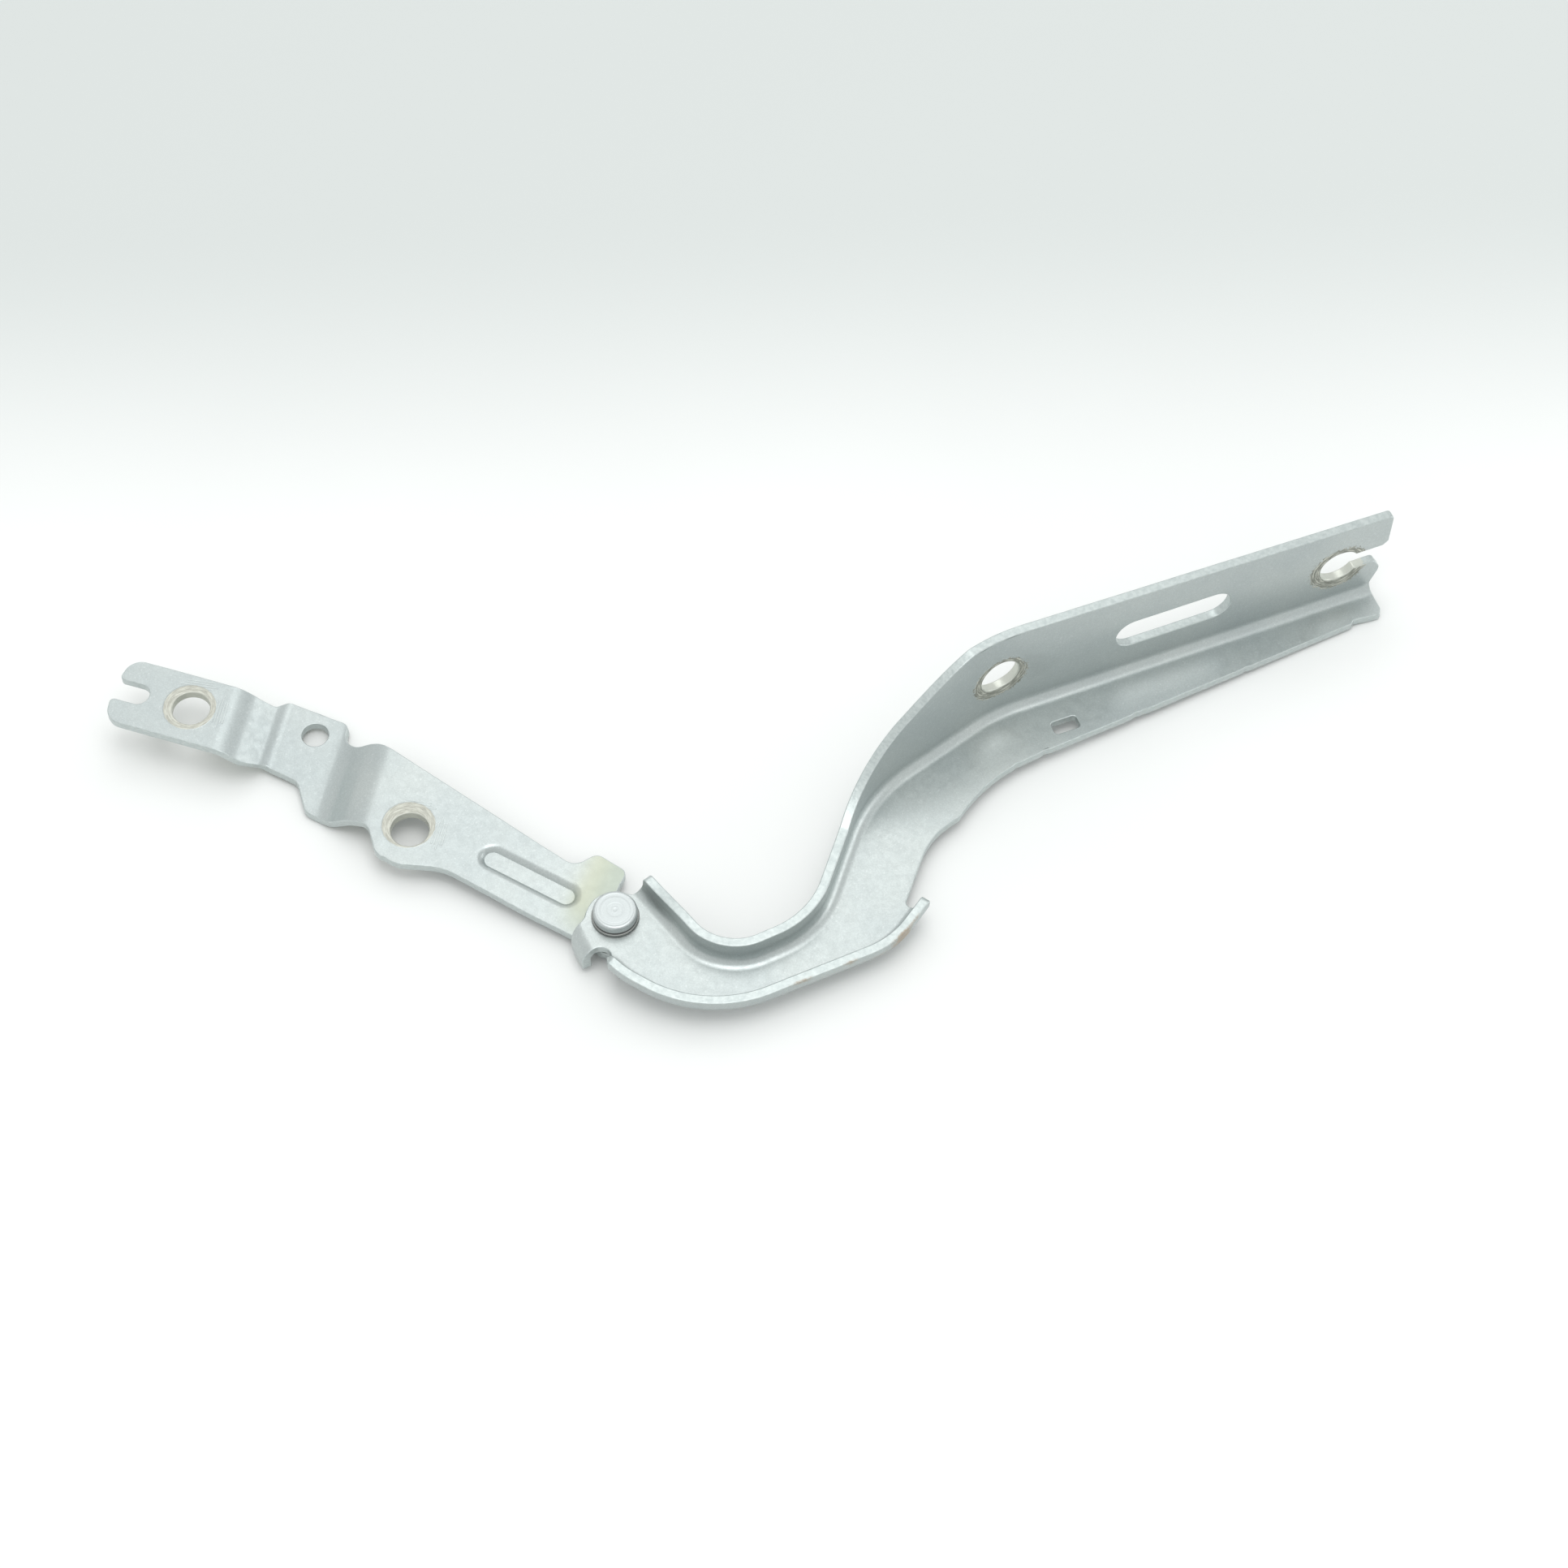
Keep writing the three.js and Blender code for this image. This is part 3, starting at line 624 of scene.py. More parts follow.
def arm_loops():
    """The outline of the flat sheet of the arm as (s, v) of the inner wall's line: the free edge of the
    wall, the open keyhole and its prong, then the web with its outer wall and hook. Its holes follow."""
    end = FLANGE_S + FLANGE_END
    mouth = FLANGE_S + KEYHOLE[0] + FLANGE_HOLE_R
    neck_low, neck_high = (wall_v(KEYHOLE[1] + side) for side in (-NECK_HALF_WIDTH, NECK_HALF_WIDTH))
    top = np.linspace(WALL_START + 3, end - 3, 600)
    wall = filleted([
        (-3.9, -4.3), (WALL_START - 1.0, -3.2, 1.3), (WALL_START, wall_v(wall_top(0.0)), 1.3),
        *zip(top, wall_v(wall_top(top))),
        (end, wall_v(wall_top(end)), 1.6), (end, neck_high + 1.8, 0.5), (end - 1.8, neck_high, 0.5),
        (mouth, neck_high),
    ])
    key_along, key_height = FLANGE_S + KEYHOLE[0], wall_v(KEYHOLE[1])
    half = math.degrees(math.asin(NECK_HALF_WIDTH / FLANGE_HOLE_R))
    keyhole = arc((key_along, key_height), FLANGE_HOLE_R, half, 360 - half)
    prong = filleted([
        (mouth, neck_low), (FLANGE_S + 110.4, neck_low, 1.5),
        (FLANGE_S + 112.6, wall_v(10.4), 1.2), (FLANGE_S + 112.4, wall_v(8.5), 1.5),
        (FLANGE_S + 110.4, wall_v(3), 1.5), (FLANGE_S + 110.5, -2.0),
    ])
    straight = OUTER_WALL - (OUTER_BEND_MIDDLE - MIDDLE)
    wall_end = OUTER_BEND_MIDDLE * math.pi / 2 + straight
    web = filleted([
        web_corner(110.5, 2), web_corner(110.5, 8.2, 1.4), web_corner(109.4, 10.6, 1.2),
        web_corner(100.4, 9.6, 0.6), web_corner(99.3, 10.7, 0.6), web_corner(-8.5, 19),
        (72.2, 99.7, 55), (72.3, 47, 2.2), outer_corner(OUTER.length - 0.1, 2.6, 1.0),
        outer_corner(OUTER.length + 2.2, 4.6, 0.7), outer_corner(OUTER.length + 2.6, wall_end, 0.9),
        outer_corner(OUTER.length - 1, wall_end),
    ])
    along = np.linspace(OUTER.length - 1, 4, 300)
    outer = OUTER.place(along, np.full(300, -wall_end))
    start = filleted([
        outer_corner(4, wall_end), outer_corner(0.3, wall_end, 1.0), outer_corner(0, 3.6, 0.5), (6.55, -13.4),
    ])
    relief = arc(RELIEF_CENTRE, RELIEF_R, 10, 158)
    hook = filleted([
        hook_corner(7.4, 0.6), hook_corner(7.6, 2.5), hook_corner(8.0, HOOK_LENGTH, 1.0),
        hook_corner(-0.1, HOOK_LENGTH, 1.6), hook_corner(-0.5, 4.5, 4), hook_corner(-2.6, 0.6, 5),
        (-8.0, -4.7, 1.5), (-8.6, -3.0),
    ])
    ear = arc((0, 0), EAR_R, 196, 100)
    in_plan = np.concatenate([web, outer, start, relief, hook, ear])
    outline = np.concatenate([wall, keyhole, prong, to_sheet(in_plan)])
    square_corners = ((-4.6, 10.2), (-4.6, 14.7), (3.9, 14.7), (3.9, 10.2))
    square = filleted([web_corner(along, out, 1.0) for along, out in square_corners], closed=True)
    return [
        outline, to_sheet(circle((0, 0), ARM_PIVOT_HOLE_R)), to_sheet(square),
        circle((FLANGE_S + ROUND_HOLE[0], wall_v(ROUND_HOLE[1])), FLANGE_HOLE_R),
        stadium(FLANGE_S + LONG_SLOT[0], FLANGE_S + LONG_SLOT[1], wall_v(LONG_SLOT[2]), LONG_SLOT_R),
    ]


def arm_fill():
    """Points to carry the faces: rows along the inner wall, closer in its bend, and rows along the outer
    wall and across the hook, where the first rows leave off."""
    s = np.arange(-14, INNER.length + 4, 1.5)
    rows = np.concatenate([np.arange(-60, -5, 1.6), np.arange(-4.4, 5.6, 0.7), np.arange(6.4, 50, 1.8)])
    s, v = (part.ravel() for part in np.meshgrid(s, rows))
    grid = np.stack([s, v], 1)
    plan = INNER.place(s, v)
    outer_s, outer_v = OUTER.locate(plan)
    by_outer = (outer_v < 1.0) & (outer_s > 0.5) & (outer_s < OUTER.length + 6) & (v < -4)
    hook_s, hook_v = HOOK.locate(plan)
    by_hook = (hook_v < 0.7) & (hook_s > -5) & (hook_s < HOOK.length + 2) & (v < -4)
    a, b = np.meshgrid(np.arange(1, OUTER.length + 4, 1.3), np.arange(-9, 0.8, 0.65))
    outer_grid = OUTER.place(a.ravel(), b.ravel())
    a, b = np.meshgrid(np.arange(-4, HOOK.length + 2, 1.0), np.arange(-9.5, 0.5, 0.5))
    hook_grid = HOOK.place(a.ravel(), b.ravel())
    return np.concatenate([grid[~(by_outer | by_hook)], to_sheet(outer_grid), to_sheet(hook_grid)])


def arm_colours(points, _upper):
    """Brown scuffs along the outer wall. Its paint is nowhere thin, stained, or coarse with painted glints,
    and an attribute that a piece doesn't have reads as 0 in the paint."""
    s, v = OUTER.locate(points[:, :2])
    near = step_between(-3.5, -5.2, v) * (np.abs(v) < 7)
    stretch = step_between(44, 58, s) * (1 - step_between(96, 101, s)) * (s < OUTER.length + 4)
    patchy = np.clip(0.6 + 0.6 * ripple(points, 6, 31), 0, 1)
    return {"scuff": near * stretch * patchy}


def web_nick(along, out, width, depth):
    """A nick in the edge of the web, as the place, width and depth of its middle."""
    return (*web_corner(along, out)[:2], WEB_MIDDLE, width, depth)


ARM_NICKS = [
    web_nick(22, 16.7, 1.2, 0.35), web_nick(24.6, 16.5, 0.8, 0.3), web_nick(-9.6, 19.2, 1.4, 0.4),
    web_nick(-20, 20.5, 1.0, 0.25), web_nick(61, 13.7, 0.9, 0.25),
    (49.5, 8.6, 9.5, 1.0, 0.3), (20.2, 5.3, 13.4, 0.8, 0.3),
]
BRACKET_NICKS = [
    (-73.5, -14.6, PIVOT_LEVEL, 0.9, 0.3), (-128.3, -4.6, -1.0, 0.8, 0.3),
    (-7.0, 13.2, PIVOT_LEVEL, 0.7, 0.35),
]


# ---------------------------------------------------------------- shader helpers
def feed(tree, socket, value):
    """Links a value to a socket, or writes a plain one in it."""
    if isinstance(value, bpy.types.NodeSocket):
        tree.links.new(value, socket)
    else:
        socket.default_value = value


def put(tree, kind, inputs=None, out=0, **settings):
    """Adds a node and gives its inputs numbers or links. Returns one of its outputs."""
    made = tree.nodes.new("ShaderNode" + kind)
    for key, value in settings.items():
        setattr(made, key, value)
    for key, value in (inputs or {}).items():
        feed(tree, made.inputs[key], value)
    return made.outputs[out]


def calc(tree, operation, *values):
    """One step of arithmetic on numbers or links."""
    return put(tree, "Math", dict(enumerate(values)), operation=operation)


def times(tree, first, *others):
    """The product of numbers or links."""
    for other in others:
        first = calc(tree, "MULTIPLY", first, other)
    return first


def plus(tree, first, *others):
    """The sum of numbers or links."""
    for other in others:
        first = calc(tree, "ADD", first, other)
    return first


def minus(tree, first, second):
    """The difference of two numbers or links."""
    return calc(tree, "SUBTRACT", first, second)


def flat_radius(tree, vector):
    """A vector without its height, and its length: the distance from the axis."""
    flat = put(tree, "VectorMath", {0: vector, 1: (1.0, 1.0, 0.0)}, operation="MULTIPLY")
    return flat, put(tree, "VectorMath", {0: flat}, operation="LENGTH", out="Value")


def between(tree, value, low, high, to_low=0.0, to_high=1.0):
    """A smooth change from one number to another as a value goes from low to high."""
    inputs = {"Value": value, "From Min": low, "From Max": high, "To Min": to_low, "To Max": to_high}
    return put(tree, "MapRange", inputs, interpolation_type="SMOOTHSTEP")


def tinted(tree, factor, first, second, blend="MIX"):
    """A mix of two colours: the first where the factor is 0, the second where it is 1."""
    made = tree.nodes.new("ShaderNodeMix")
    made.data_type, made.blend_type = "RGBA", blend
    feed(tree, made.inputs[0], factor)
    for slot, colour in ((6, first), (7, second)):
        linked = isinstance(colour, bpy.types.NodeSocket)
        feed(tree, made.inputs[slot], colour if linked else (*colour[:3], 1.0))
    return made.outputs[2]


def noise(tree, vector, scale, detail=2.0, roughness=0.5):
    """Smooth unevenness round a half, of scale waves to the millimetre."""
    inputs = {"Vector": vector, "Scale": scale, "Detail": detail, "Roughness": roughness}
    return put(tree, "TexNoise", inputs, out="Fac")


def attribute(tree, name):
    """A value that a piece carries at its points."""
    return put(tree, "Attribute", out="Fac", attribute_name=name)


def centred(tree, centre, turn=(0.0, 0.0, 0.0)):
    """Object coordinates in millimetres round a point of the hinge, turned about it."""
    place = np.array(centre) * MM + PIVOT
    inputs = {
        "Vector": put(tree, "TexCoord", out="Object"), "Location": place,
        "Rotation": turn, "Scale": (MM, MM, MM),
    }
    return put(tree, "Mapping", inputs, vector_type="TEXTURE")


def new_group(name, ins, outs):
    """A node group with inputs and outputs given as (name, kind, default) and (name, kind)."""
    group = bpy.data.node_groups.new(name, "ShaderNodeTree")
    for label, kind, value in ins:
        socket = group.interface.new_socket(name=label, in_out="INPUT", socket_type="NodeSocket" + kind)
        if value is not None:
            socket.default_value = value
    for label, kind in outs:
        group.interface.new_socket(name=label, in_out="OUTPUT", socket_type="NodeSocket" + kind)
    source, sink = group.nodes.new("NodeGroupInput"), group.nodes.new("NodeGroupOutput")
    return group, source.outputs, sink.inputs


def use_group(tree, group, inputs):
    """Adds a node group with its inputs. Returns all its outputs."""
    made = tree.nodes.new("ShaderNodeGroup")
    made.node_tree = group
    for key, value in inputs.items():
        feed(tree, made.inputs[key], value)
    return made.outputs


# ---------------------------------------------------------------- shader groups
def flake_group():
    """Metallic paint: two tones drifting over the surface, flakes of slightly different brightness,
    a few near-white flakes that are painted glints, and the low unevenness of sprayed paint."""
    tree, ins, outs = new_group(
        "flake_paint",
        [
            ("Vector", "Vector", None), ("Dark", "Color", (0.4, 0.43, 0.46, 1)),
            ("Light", "Color", (0.6, 0.63, 0.65, 1)), ("Coarse_and_glints", "Float", 0.0),
        ],
        [("Color", "Color"), ("Roughness", "Float"), ("Height", "Float")],
    )
    vector, coarse_and_glints = ins["Vector"], ins["Coarse_and_glints"]
    drift = noise(tree, vector, 0.035, 3)
    colour = tinted(tree, between(tree, drift, 0.25, 0.75), ins["Dark"], ins["Light"])
    flakes = put(tree, "TexVoronoi", {"Vector": vector, "Scale": 3.2}, out="Color")
    flake = put(tree, "SeparateColor", {"Color": flakes}, out=0)
    cloud = noise(tree, vector, 1.1, 2)
    speck = between(tree, plus(tree, flake, times(tree, cloud, 0.5)), 0.35, 1.25, 0.96, 1.05)
    grey = put(tree, "CombineColor", {0: speck, 1: speck, 2: speck})
    colour = tinted(tree, 1.0, colour, grey, "MULTIPLY")
    # painted glints: the brightest flake cells are mixed towards near-white, and more of them where the paint
    # is coarse
    glint_cells = put(tree, "TexVoronoi", {"Vector": vector, "Scale": 2.4}, out="Color")
    grain = put(tree, "SeparateColor", {"Color": glint_cells}, out=1)
    bright = times(tree, between(tree, grain, 0.93, 1.0), plus(tree, 0.12, coarse_and_glints))
    colour = tinted(tree, bright, colour, (0.95, 0.96, 0.96))
    tree.links.new(colour, outs["Color"])
    rough = between(tree, noise(tree, vector, 0.5, 2), 0.3, 0.7, 0.30, 0.38)
    tree.links.new(rough, outs["Roughness"])
    peel = times(tree, noise(tree, vector, 0.75, 2, 0.55), 0.5)
    lumps = times(tree, noise(tree, vector, 1.7, 1), coarse_and_glints, 1.6)
    tree.links.new(plus(tree, peel, times(tree, flake, 0.10), lumps), outs["Height"])
    return tree


def seat_group():
    """The ring that a bolt head wore round its hole: a mask by radius with a crumbly outer edge, and
    mottling drawn out round the ring."""
    tree, ins, outs = new_group(
        "worn_seat",
        [
            ("Vector", "Vector", None), ("Radius", "Float", 8.2), ("Ragged", "Float", 1.0),
            ("Lean", "Float", 0.0),
        ],
        [("Mask", "Float"), ("Mottle", "Float"), ("Height", "Float")],
    )
    flat, radius = flat_radius(tree, ins["Vector"])
    split = put(tree, "SeparateXYZ", {0: flat}, out=slice(None))
    angle = calc(tree, "ARCTAN2", split[1], split[0])
    sine, cosine = calc(tree, "SINE", angle), calc(tree, "COSINE", angle)
    round_way = put(tree, "CombineXYZ", {
        0: times(tree, radius, 2.2), 1: times(tree, cosine, 2.5), 2: times(tree, sine, 2.5),
    })
    crumb = minus(tree, noise(tree, ins["Vector"], 0.9, 4, 0.7), 0.5)
    limit = plus(tree, ins["Radius"], times(tree, crumb, ins["Ragged"], 2.4))
    limit = minus(tree, limit, times(tree, sine, ins["Lean"]))
    within = minus(tree, limit, radius)
    mask = between(tree, within, -0.1, 0.12)
    tree.links.new(mask, outs["Mask"])
    streak = noise(tree, round_way, 1.0, 4, 0.65)
    tree.links.new(between(tree, streak, 0.32, 0.68), outs["Mottle"])
    lip = between(tree, calc(tree, "ABSOLUTE", within), 0.0, 0.35, 1.0, 0.0)
    tree.links.new(plus(tree, times(tree, lip, 0.35), times(tree, streak, mask, 0.9)), outs["Height"])
    return tree


def gauge_group():
    """Two sets of five short stamped lines beside a bolt hole, the middle one of each set longer."""
    tree, ins, outs = new_group("gauge_lines", [("Vector", "Vector", None)], [("Lines", "Float")])
    x, y = put(tree, "SeparateXYZ", {0: ins["Vector"]}, out=slice(None))[:2]
    step = 0.84

    def ladder(across, along, middle, shift):
        off = minus(tree, across, middle)
        away = calc(tree, "ABSOLUTE", off)
        near = calc(tree, "PINGPONG", plus(tree, off, 10 * step), step / 2)
        line = between(tree, near, 0.10, 0.22, 1.0, 0.0)
        wide = calc(tree, "LESS_THAN", away, 2.5 * step)
        centre = calc(tree, "LESS_THAN", away, step / 2)
        reach = plus(tree, 4.1, times(tree, centre, 1.9))
        run = minus(tree, reach, calc(tree, "ABSOLUTE", minus(tree, along, shift)))
        return times(tree, line, wide, between(tree, run, 0.0, 0.3))

    both = calc(tree, "MAXIMUM", ladder(x, y, 9.2, 0.1), ladder(y, x, 8.6, 0.4))
    tree.links.new(both, outs["Lines"])
    return tree


def sheared_group():
    """The sheared side of a sheet: bright torn bands across a darker ground."""
    tree, ins, outs = new_group(
        "sheared_edge", [("Vector", "Vector", None)], [("Tone", "Float"), ("Height", "Float")]
    )
    stretch = put(tree, "VectorMath", {0: ins["Vector"], 1: (0.9, 0.9, 2.6)}, operation="MULTIPLY")
    tone = noise(tree, stretch, 0.8, 4, 0.6)
    tree.links.new(between(tree, tone, 0.25, 0.75), outs["Tone"])
    tree.links.new(noise(tree, stretch, 1.1, 3, 0.6), outs["Height"])
    return tree


GROUPS = {}


def shared_group(key, build):
    """A node group, built the first time that it is asked for."""
    if key not in GROUPS:
        GROUPS[key] = build()
    return GROUPS[key]


# ---------------------------------------------------------------- materials
BUMP_DEPTH = 0.00005
PAINT_METAL = 0.72
SEAT_R = 8.2
UNDER_SEAT_R = 10.6
GAUGE_TURN = (0, 0, math.radians(20))


def finish_shader(material, colour, roughness, metallic, height, strength=0.5):
    """Joins colour, roughness, metal and a bump to the one Principled shader of a material."""
    tree = material.node_tree
    shader = tree.nodes["Principled BSDF"]
    feed(tree, shader.inputs["Base Color"], colour)
    feed(tree, shader.inputs["Roughness"], roughness)
    feed(tree, shader.inputs["Metallic"], metallic)
    bump = {"Height": height, "Strength": strength, "Distance": BUMP_DEPTH}
    feed(tree, shader.inputs["Normal"], put(tree, "Bump", bump, out="Normal"))


def blank_material(name):
    material = bpy.data.materials.new(name)
    material.use_nodes = True
    return material, material.node_tree


def paint_start(tree, colours):
    """Silver paint with its sheared edges: places in millimetres, colour, roughness and height."""
    here = put(tree, "TexCoord", out="Object")
    where = put(tree, "Mapping", {"Vector": here, "Scale": (1 / MM, 1 / MM, 1 / MM)})
    paint = use_group(tree, shared_group("flake", flake_group), {
        "Vector": where, "Dark": (*colours.paint_dark, 1), "Light": (*colours.paint_light, 1),
        "Coarse_and_glints": attribute(tree, "grainy"),
    })
    sheared = use_group(tree, shared_group("sheared", sheared_group), {"Vector": where})
    rim = attribute(tree, "rim")
    edge = tinted(tree, sheared["Tone"], colours.edge_dark, colours.edge_light)
    thin = tinted(tree, 0.85, paint["Color"], colours.thin_paint)
    colour = tinted(tree, attribute(tree, "thin"), paint["Color"], thin)
    colour = tinted(tree, times(tree, attribute(tree, "warm"), 0.35), colour, colours.warm_paint)
    colour = tinted(tree, rim, colour, edge)
    height = plus(tree, paint["Height"], times(tree, rim, sheared["Height"], 2.0))
    return where, colour, paint["Roughness"], height


def with_seat(tree, parts, where, radius, ragged, lean, side, colours):
    """Lays a worn seat over the paint where its mask is, and changes the bore of the hole. A seat that
    leans is torn paint with pale patches round a pale bore, and a level one is pale residue with darker
    mottling round a dark bore."""
    colour, roughness, metallic, height = parts
    sizes = {"Vector": where, "Radius": radius, "Ragged": ragged, "Lean": lean}
    seat = use_group(tree, shared_group("seat", seat_group), sizes)
    rim = attribute(tree, "rim")
    side = times(tree, side, minus(tree, 1.0, rim))
    mask = times(tree, seat["Mask"], side)
    if lean:
        patches = calc(tree, "POWER", seat["Mottle"], 2.0)
        residue = tinted(tree, patches, colours.torn_paint, colours.residue_light)
    else:
        residue = tinted(tree, seat["Mottle"], colours.residue_dark, colours.residue_light)
    bare = colours.residue_light if lean else colours.torn_paint
    colour = tinted(tree, times(tree, seat["Mask"], rim, 0.75), colour, bare)
    colour = tinted(tree, mask, colour, residue)
    roughness = plus(tree, roughness, times(tree, mask, 0.2))
    metallic = times(tree, metallic, minus(tree, 1.0, times(tree, mask, 0.75)))
    height = plus(tree, height, times(tree, seat["Height"], side, 3.0))
    return colour, roughness, metallic, height


def bracket_material(colours):
    """Silver paint, with gauge lines and a worn seat at both bolt holes and a wider seat underneath."""
    material, tree = blank_material("bracket_paint")
    _, colour, roughness, height = paint_start(tree, colours)
    upper = attribute(tree, "upper")
    under = minus(tree, 1.0, upper)
    metallic = minus(tree, PAINT_METAL, times(tree, attribute(tree, "thin"), 0.2))
    fork = (*BOLT_FORK, FORK_LEVEL + MIDDLE)
    near = (*BOLT_PIVOT, 0.0)
    for centre, shift in ((fork, (-0.6, 0.1, 0.0)), (near, (-1.2, 1.2, 0.0))):
        where = {"Vector": centred(tree, centre, GAUGE_TURN)}
        lines = use_group(tree, shared_group("gauge", gauge_group), where)
        mark = times(tree, lines["Lines"], upper)
        colour = tinted(tree, times(tree, mark, 0.75), colour, colours.edge_light)
        height = minus(tree, height, times(tree, mark, 3.0))
        parts = (colour, roughness, metallic, height)
        seat_at = centred(tree, np.add(centre, shift))
        parts = with_seat(tree, parts, seat_at, SEAT_R, 0.3, 0.0, upper, colours)
        parts = with_seat(tree, parts, seat_at, UNDER_SEAT_R, 2.2, 0.6, under, colours)
        colour, roughness, metallic, height = parts
    finish_shader(material, colour, roughness, metallic, height)
    return material


def arm_material(colours):
    """Silver paint with brown scuffs on the outer wall, torn round two holes of the flange."""
    material, tree = blank_material("arm_paint")
    where, colour, roughness, height = paint_start(tree, colours)
    upper = attribute(tree, "upper")
    patchy = plus(tree, 0.4, noise(tree, where, 0.8, 4, 0.7))
    scuffs = between(tree, times(tree, attribute(tree, "scuff"), patchy), 0.3, 0.6)
    colour = tinted(tree, scuffs, colour, colours.scuff)
    metallic = minus(tree, PAINT_METAL, times(tree, scuffs, 0.5))
    parts = (colour, roughness, metallic, height)
    turn = (math.pi / 2, 0, FLANGE_HEADING)
    for (along, high), radius, lean in ((ROUND_HOLE, 9.3, 1.0), (KEYHOLE, 9.9, 0.9)):
        x, y = FLANGE_START + FLANGE_WAY * along
        hole = centred(tree, (x, y, WEB_TOP + high), turn)
        parts = with_seat(tree, parts, hole, radius, 2.7, lean, upper, colours)
    finish_shader(material, *parts)
    return material


def turned_material(name, colour, metallic, rings):
    """Turned metal with faint rings round the pivot."""
    material, tree = blank_material(name)
    where = centred(tree, (0.0, 0.0, 0.0))
    _, radius = flat_radius(tree, where)
    ring = noise(tree, put(tree, "CombineXYZ", {0: radius}), rings, 3, 0.7)
    grain = noise(tree, where, 1.5, 3)
    tone = times(tree, plus(tree, ring, grain), 0.5)
    dark = tuple(part * 0.82 for part in colour)
    shade = tinted(tree, between(tree, tone, 0.3, 0.7), dark, colour)
    roughness = between(tree, grain, 0.3, 0.7, 0.3, 0.42)
    height = plus(tree, ring, times(tree, grain, 0.4))
    finish_shader(material, shade, roughness, metallic, height, strength=0.15)
    return material


# ---------------------------------------------------------------- settings
def colour_setting(name, description, default):
    return bpy.props.FloatVectorProperty(
        name=name, description=description, size=3, subtype="COLOR", default=default, min=0, max=1)


class HingeColours(bpy.types.PropertyGroup):
    paint_dark: colour_setting("Paint, darker", "Darker tone of the silver paint", (0.435, 0.48, 0.48))
    paint_light: colour_setting("Paint, lighter", "Lighter tone of the silver paint", (0.49, 0.53, 0.52))
    thin_paint: colour_setting("Thin paint", "Greenish tone where the paint is thin", (0.40, 0.45, 0.38))
    warm_paint: colour_setting(
        "Stained paint", "Yellowish tone where thin paint ends", (0.55, 0.55, 0.40))
    edge_dark: colour_setting("Edge, darker", "Darker tone of the sheared edges", (0.44, 0.49, 0.485))
    edge_light: colour_setting("Edge, lighter", "Lighter tone of the sheared edges", (0.56, 0.61, 0.60))
    residue_dark: colour_setting(
        "Residue, darker", "Darker mottling of the worn seats", (0.40, 0.40, 0.35))
    residue_light: colour_setting("Residue, lighter", "Lighter tone of the worn seats", (0.62, 0.63, 0.56))
    torn_paint: colour_setting(
        "Torn paint", "Darker metal inside the holes and where paint is torn", (0.19, 0.20, 0.17))
    scuff: colour_setting("Scuffs", "Brown scuffs on the outer wall", (0.34, 0.29, 0.23))


class StageSettings(bpy.types.PropertyGroup):
    floor_size: bpy.props.FloatProperty(
        name="Floor size", description="Half width of the floor", default=3.0, min=0.5, unit="LENGTH")
    floor_colour: colour_setting("Floor colour", "Colour of the pale floor", (0.85, 0.86, 0.853))
    # painted shade: the far floor colour is darker and cooler, where the light falls off towards the back
    floor_back_shade: colour_setting(
        "Floor colour, far", "Cooler colour of the floor behind the hinge", (0.60, 0.63, 0.62))
    lens: bpy.props.FloatProperty(
        name="Lens", description="Focal length of the camera in millimetres", default=86.65, min=10)


# ---------------------------------------------------------------- operators
class HINGE_OT_bracket(bpy.types.Operator):
    """Stamp the joggled body bracket with its fork, bolt holes and bead"""

    bl_idname = "hinge.bracket"
    bl_label = "Body bracket"

    def execute(self, context):
        material = bracket_material(context.scene.hinge_colours)
        piece = stamping(
            "bracket_stamping", place_bracket, bracket_loops(), bracket_fill(), BRACKET_NICKS,
            bracket_colours, material,
        )
        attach(piece, "bracket")
        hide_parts("body_bracket")
        return {"FINISHED"}


class HINGE_OT_arm(bpy.types.Operator):
    """Stamp the bonnet arm with its gooseneck, walls, hook and bonnet flange"""

    bl_idname = "hinge.arm"
    bl_label = "Bonnet arm"

    def execute(self, context):
        material = arm_material(context.scene.hinge_colours)
        piece = stamping(
            "arm_stamping", place_arm, arm_loops(), arm_fill(), ARM_NICKS, arm_colours, material
        )
        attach(piece, "arm")
        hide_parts("bonnet_arm")
        return {"FINISHED"}


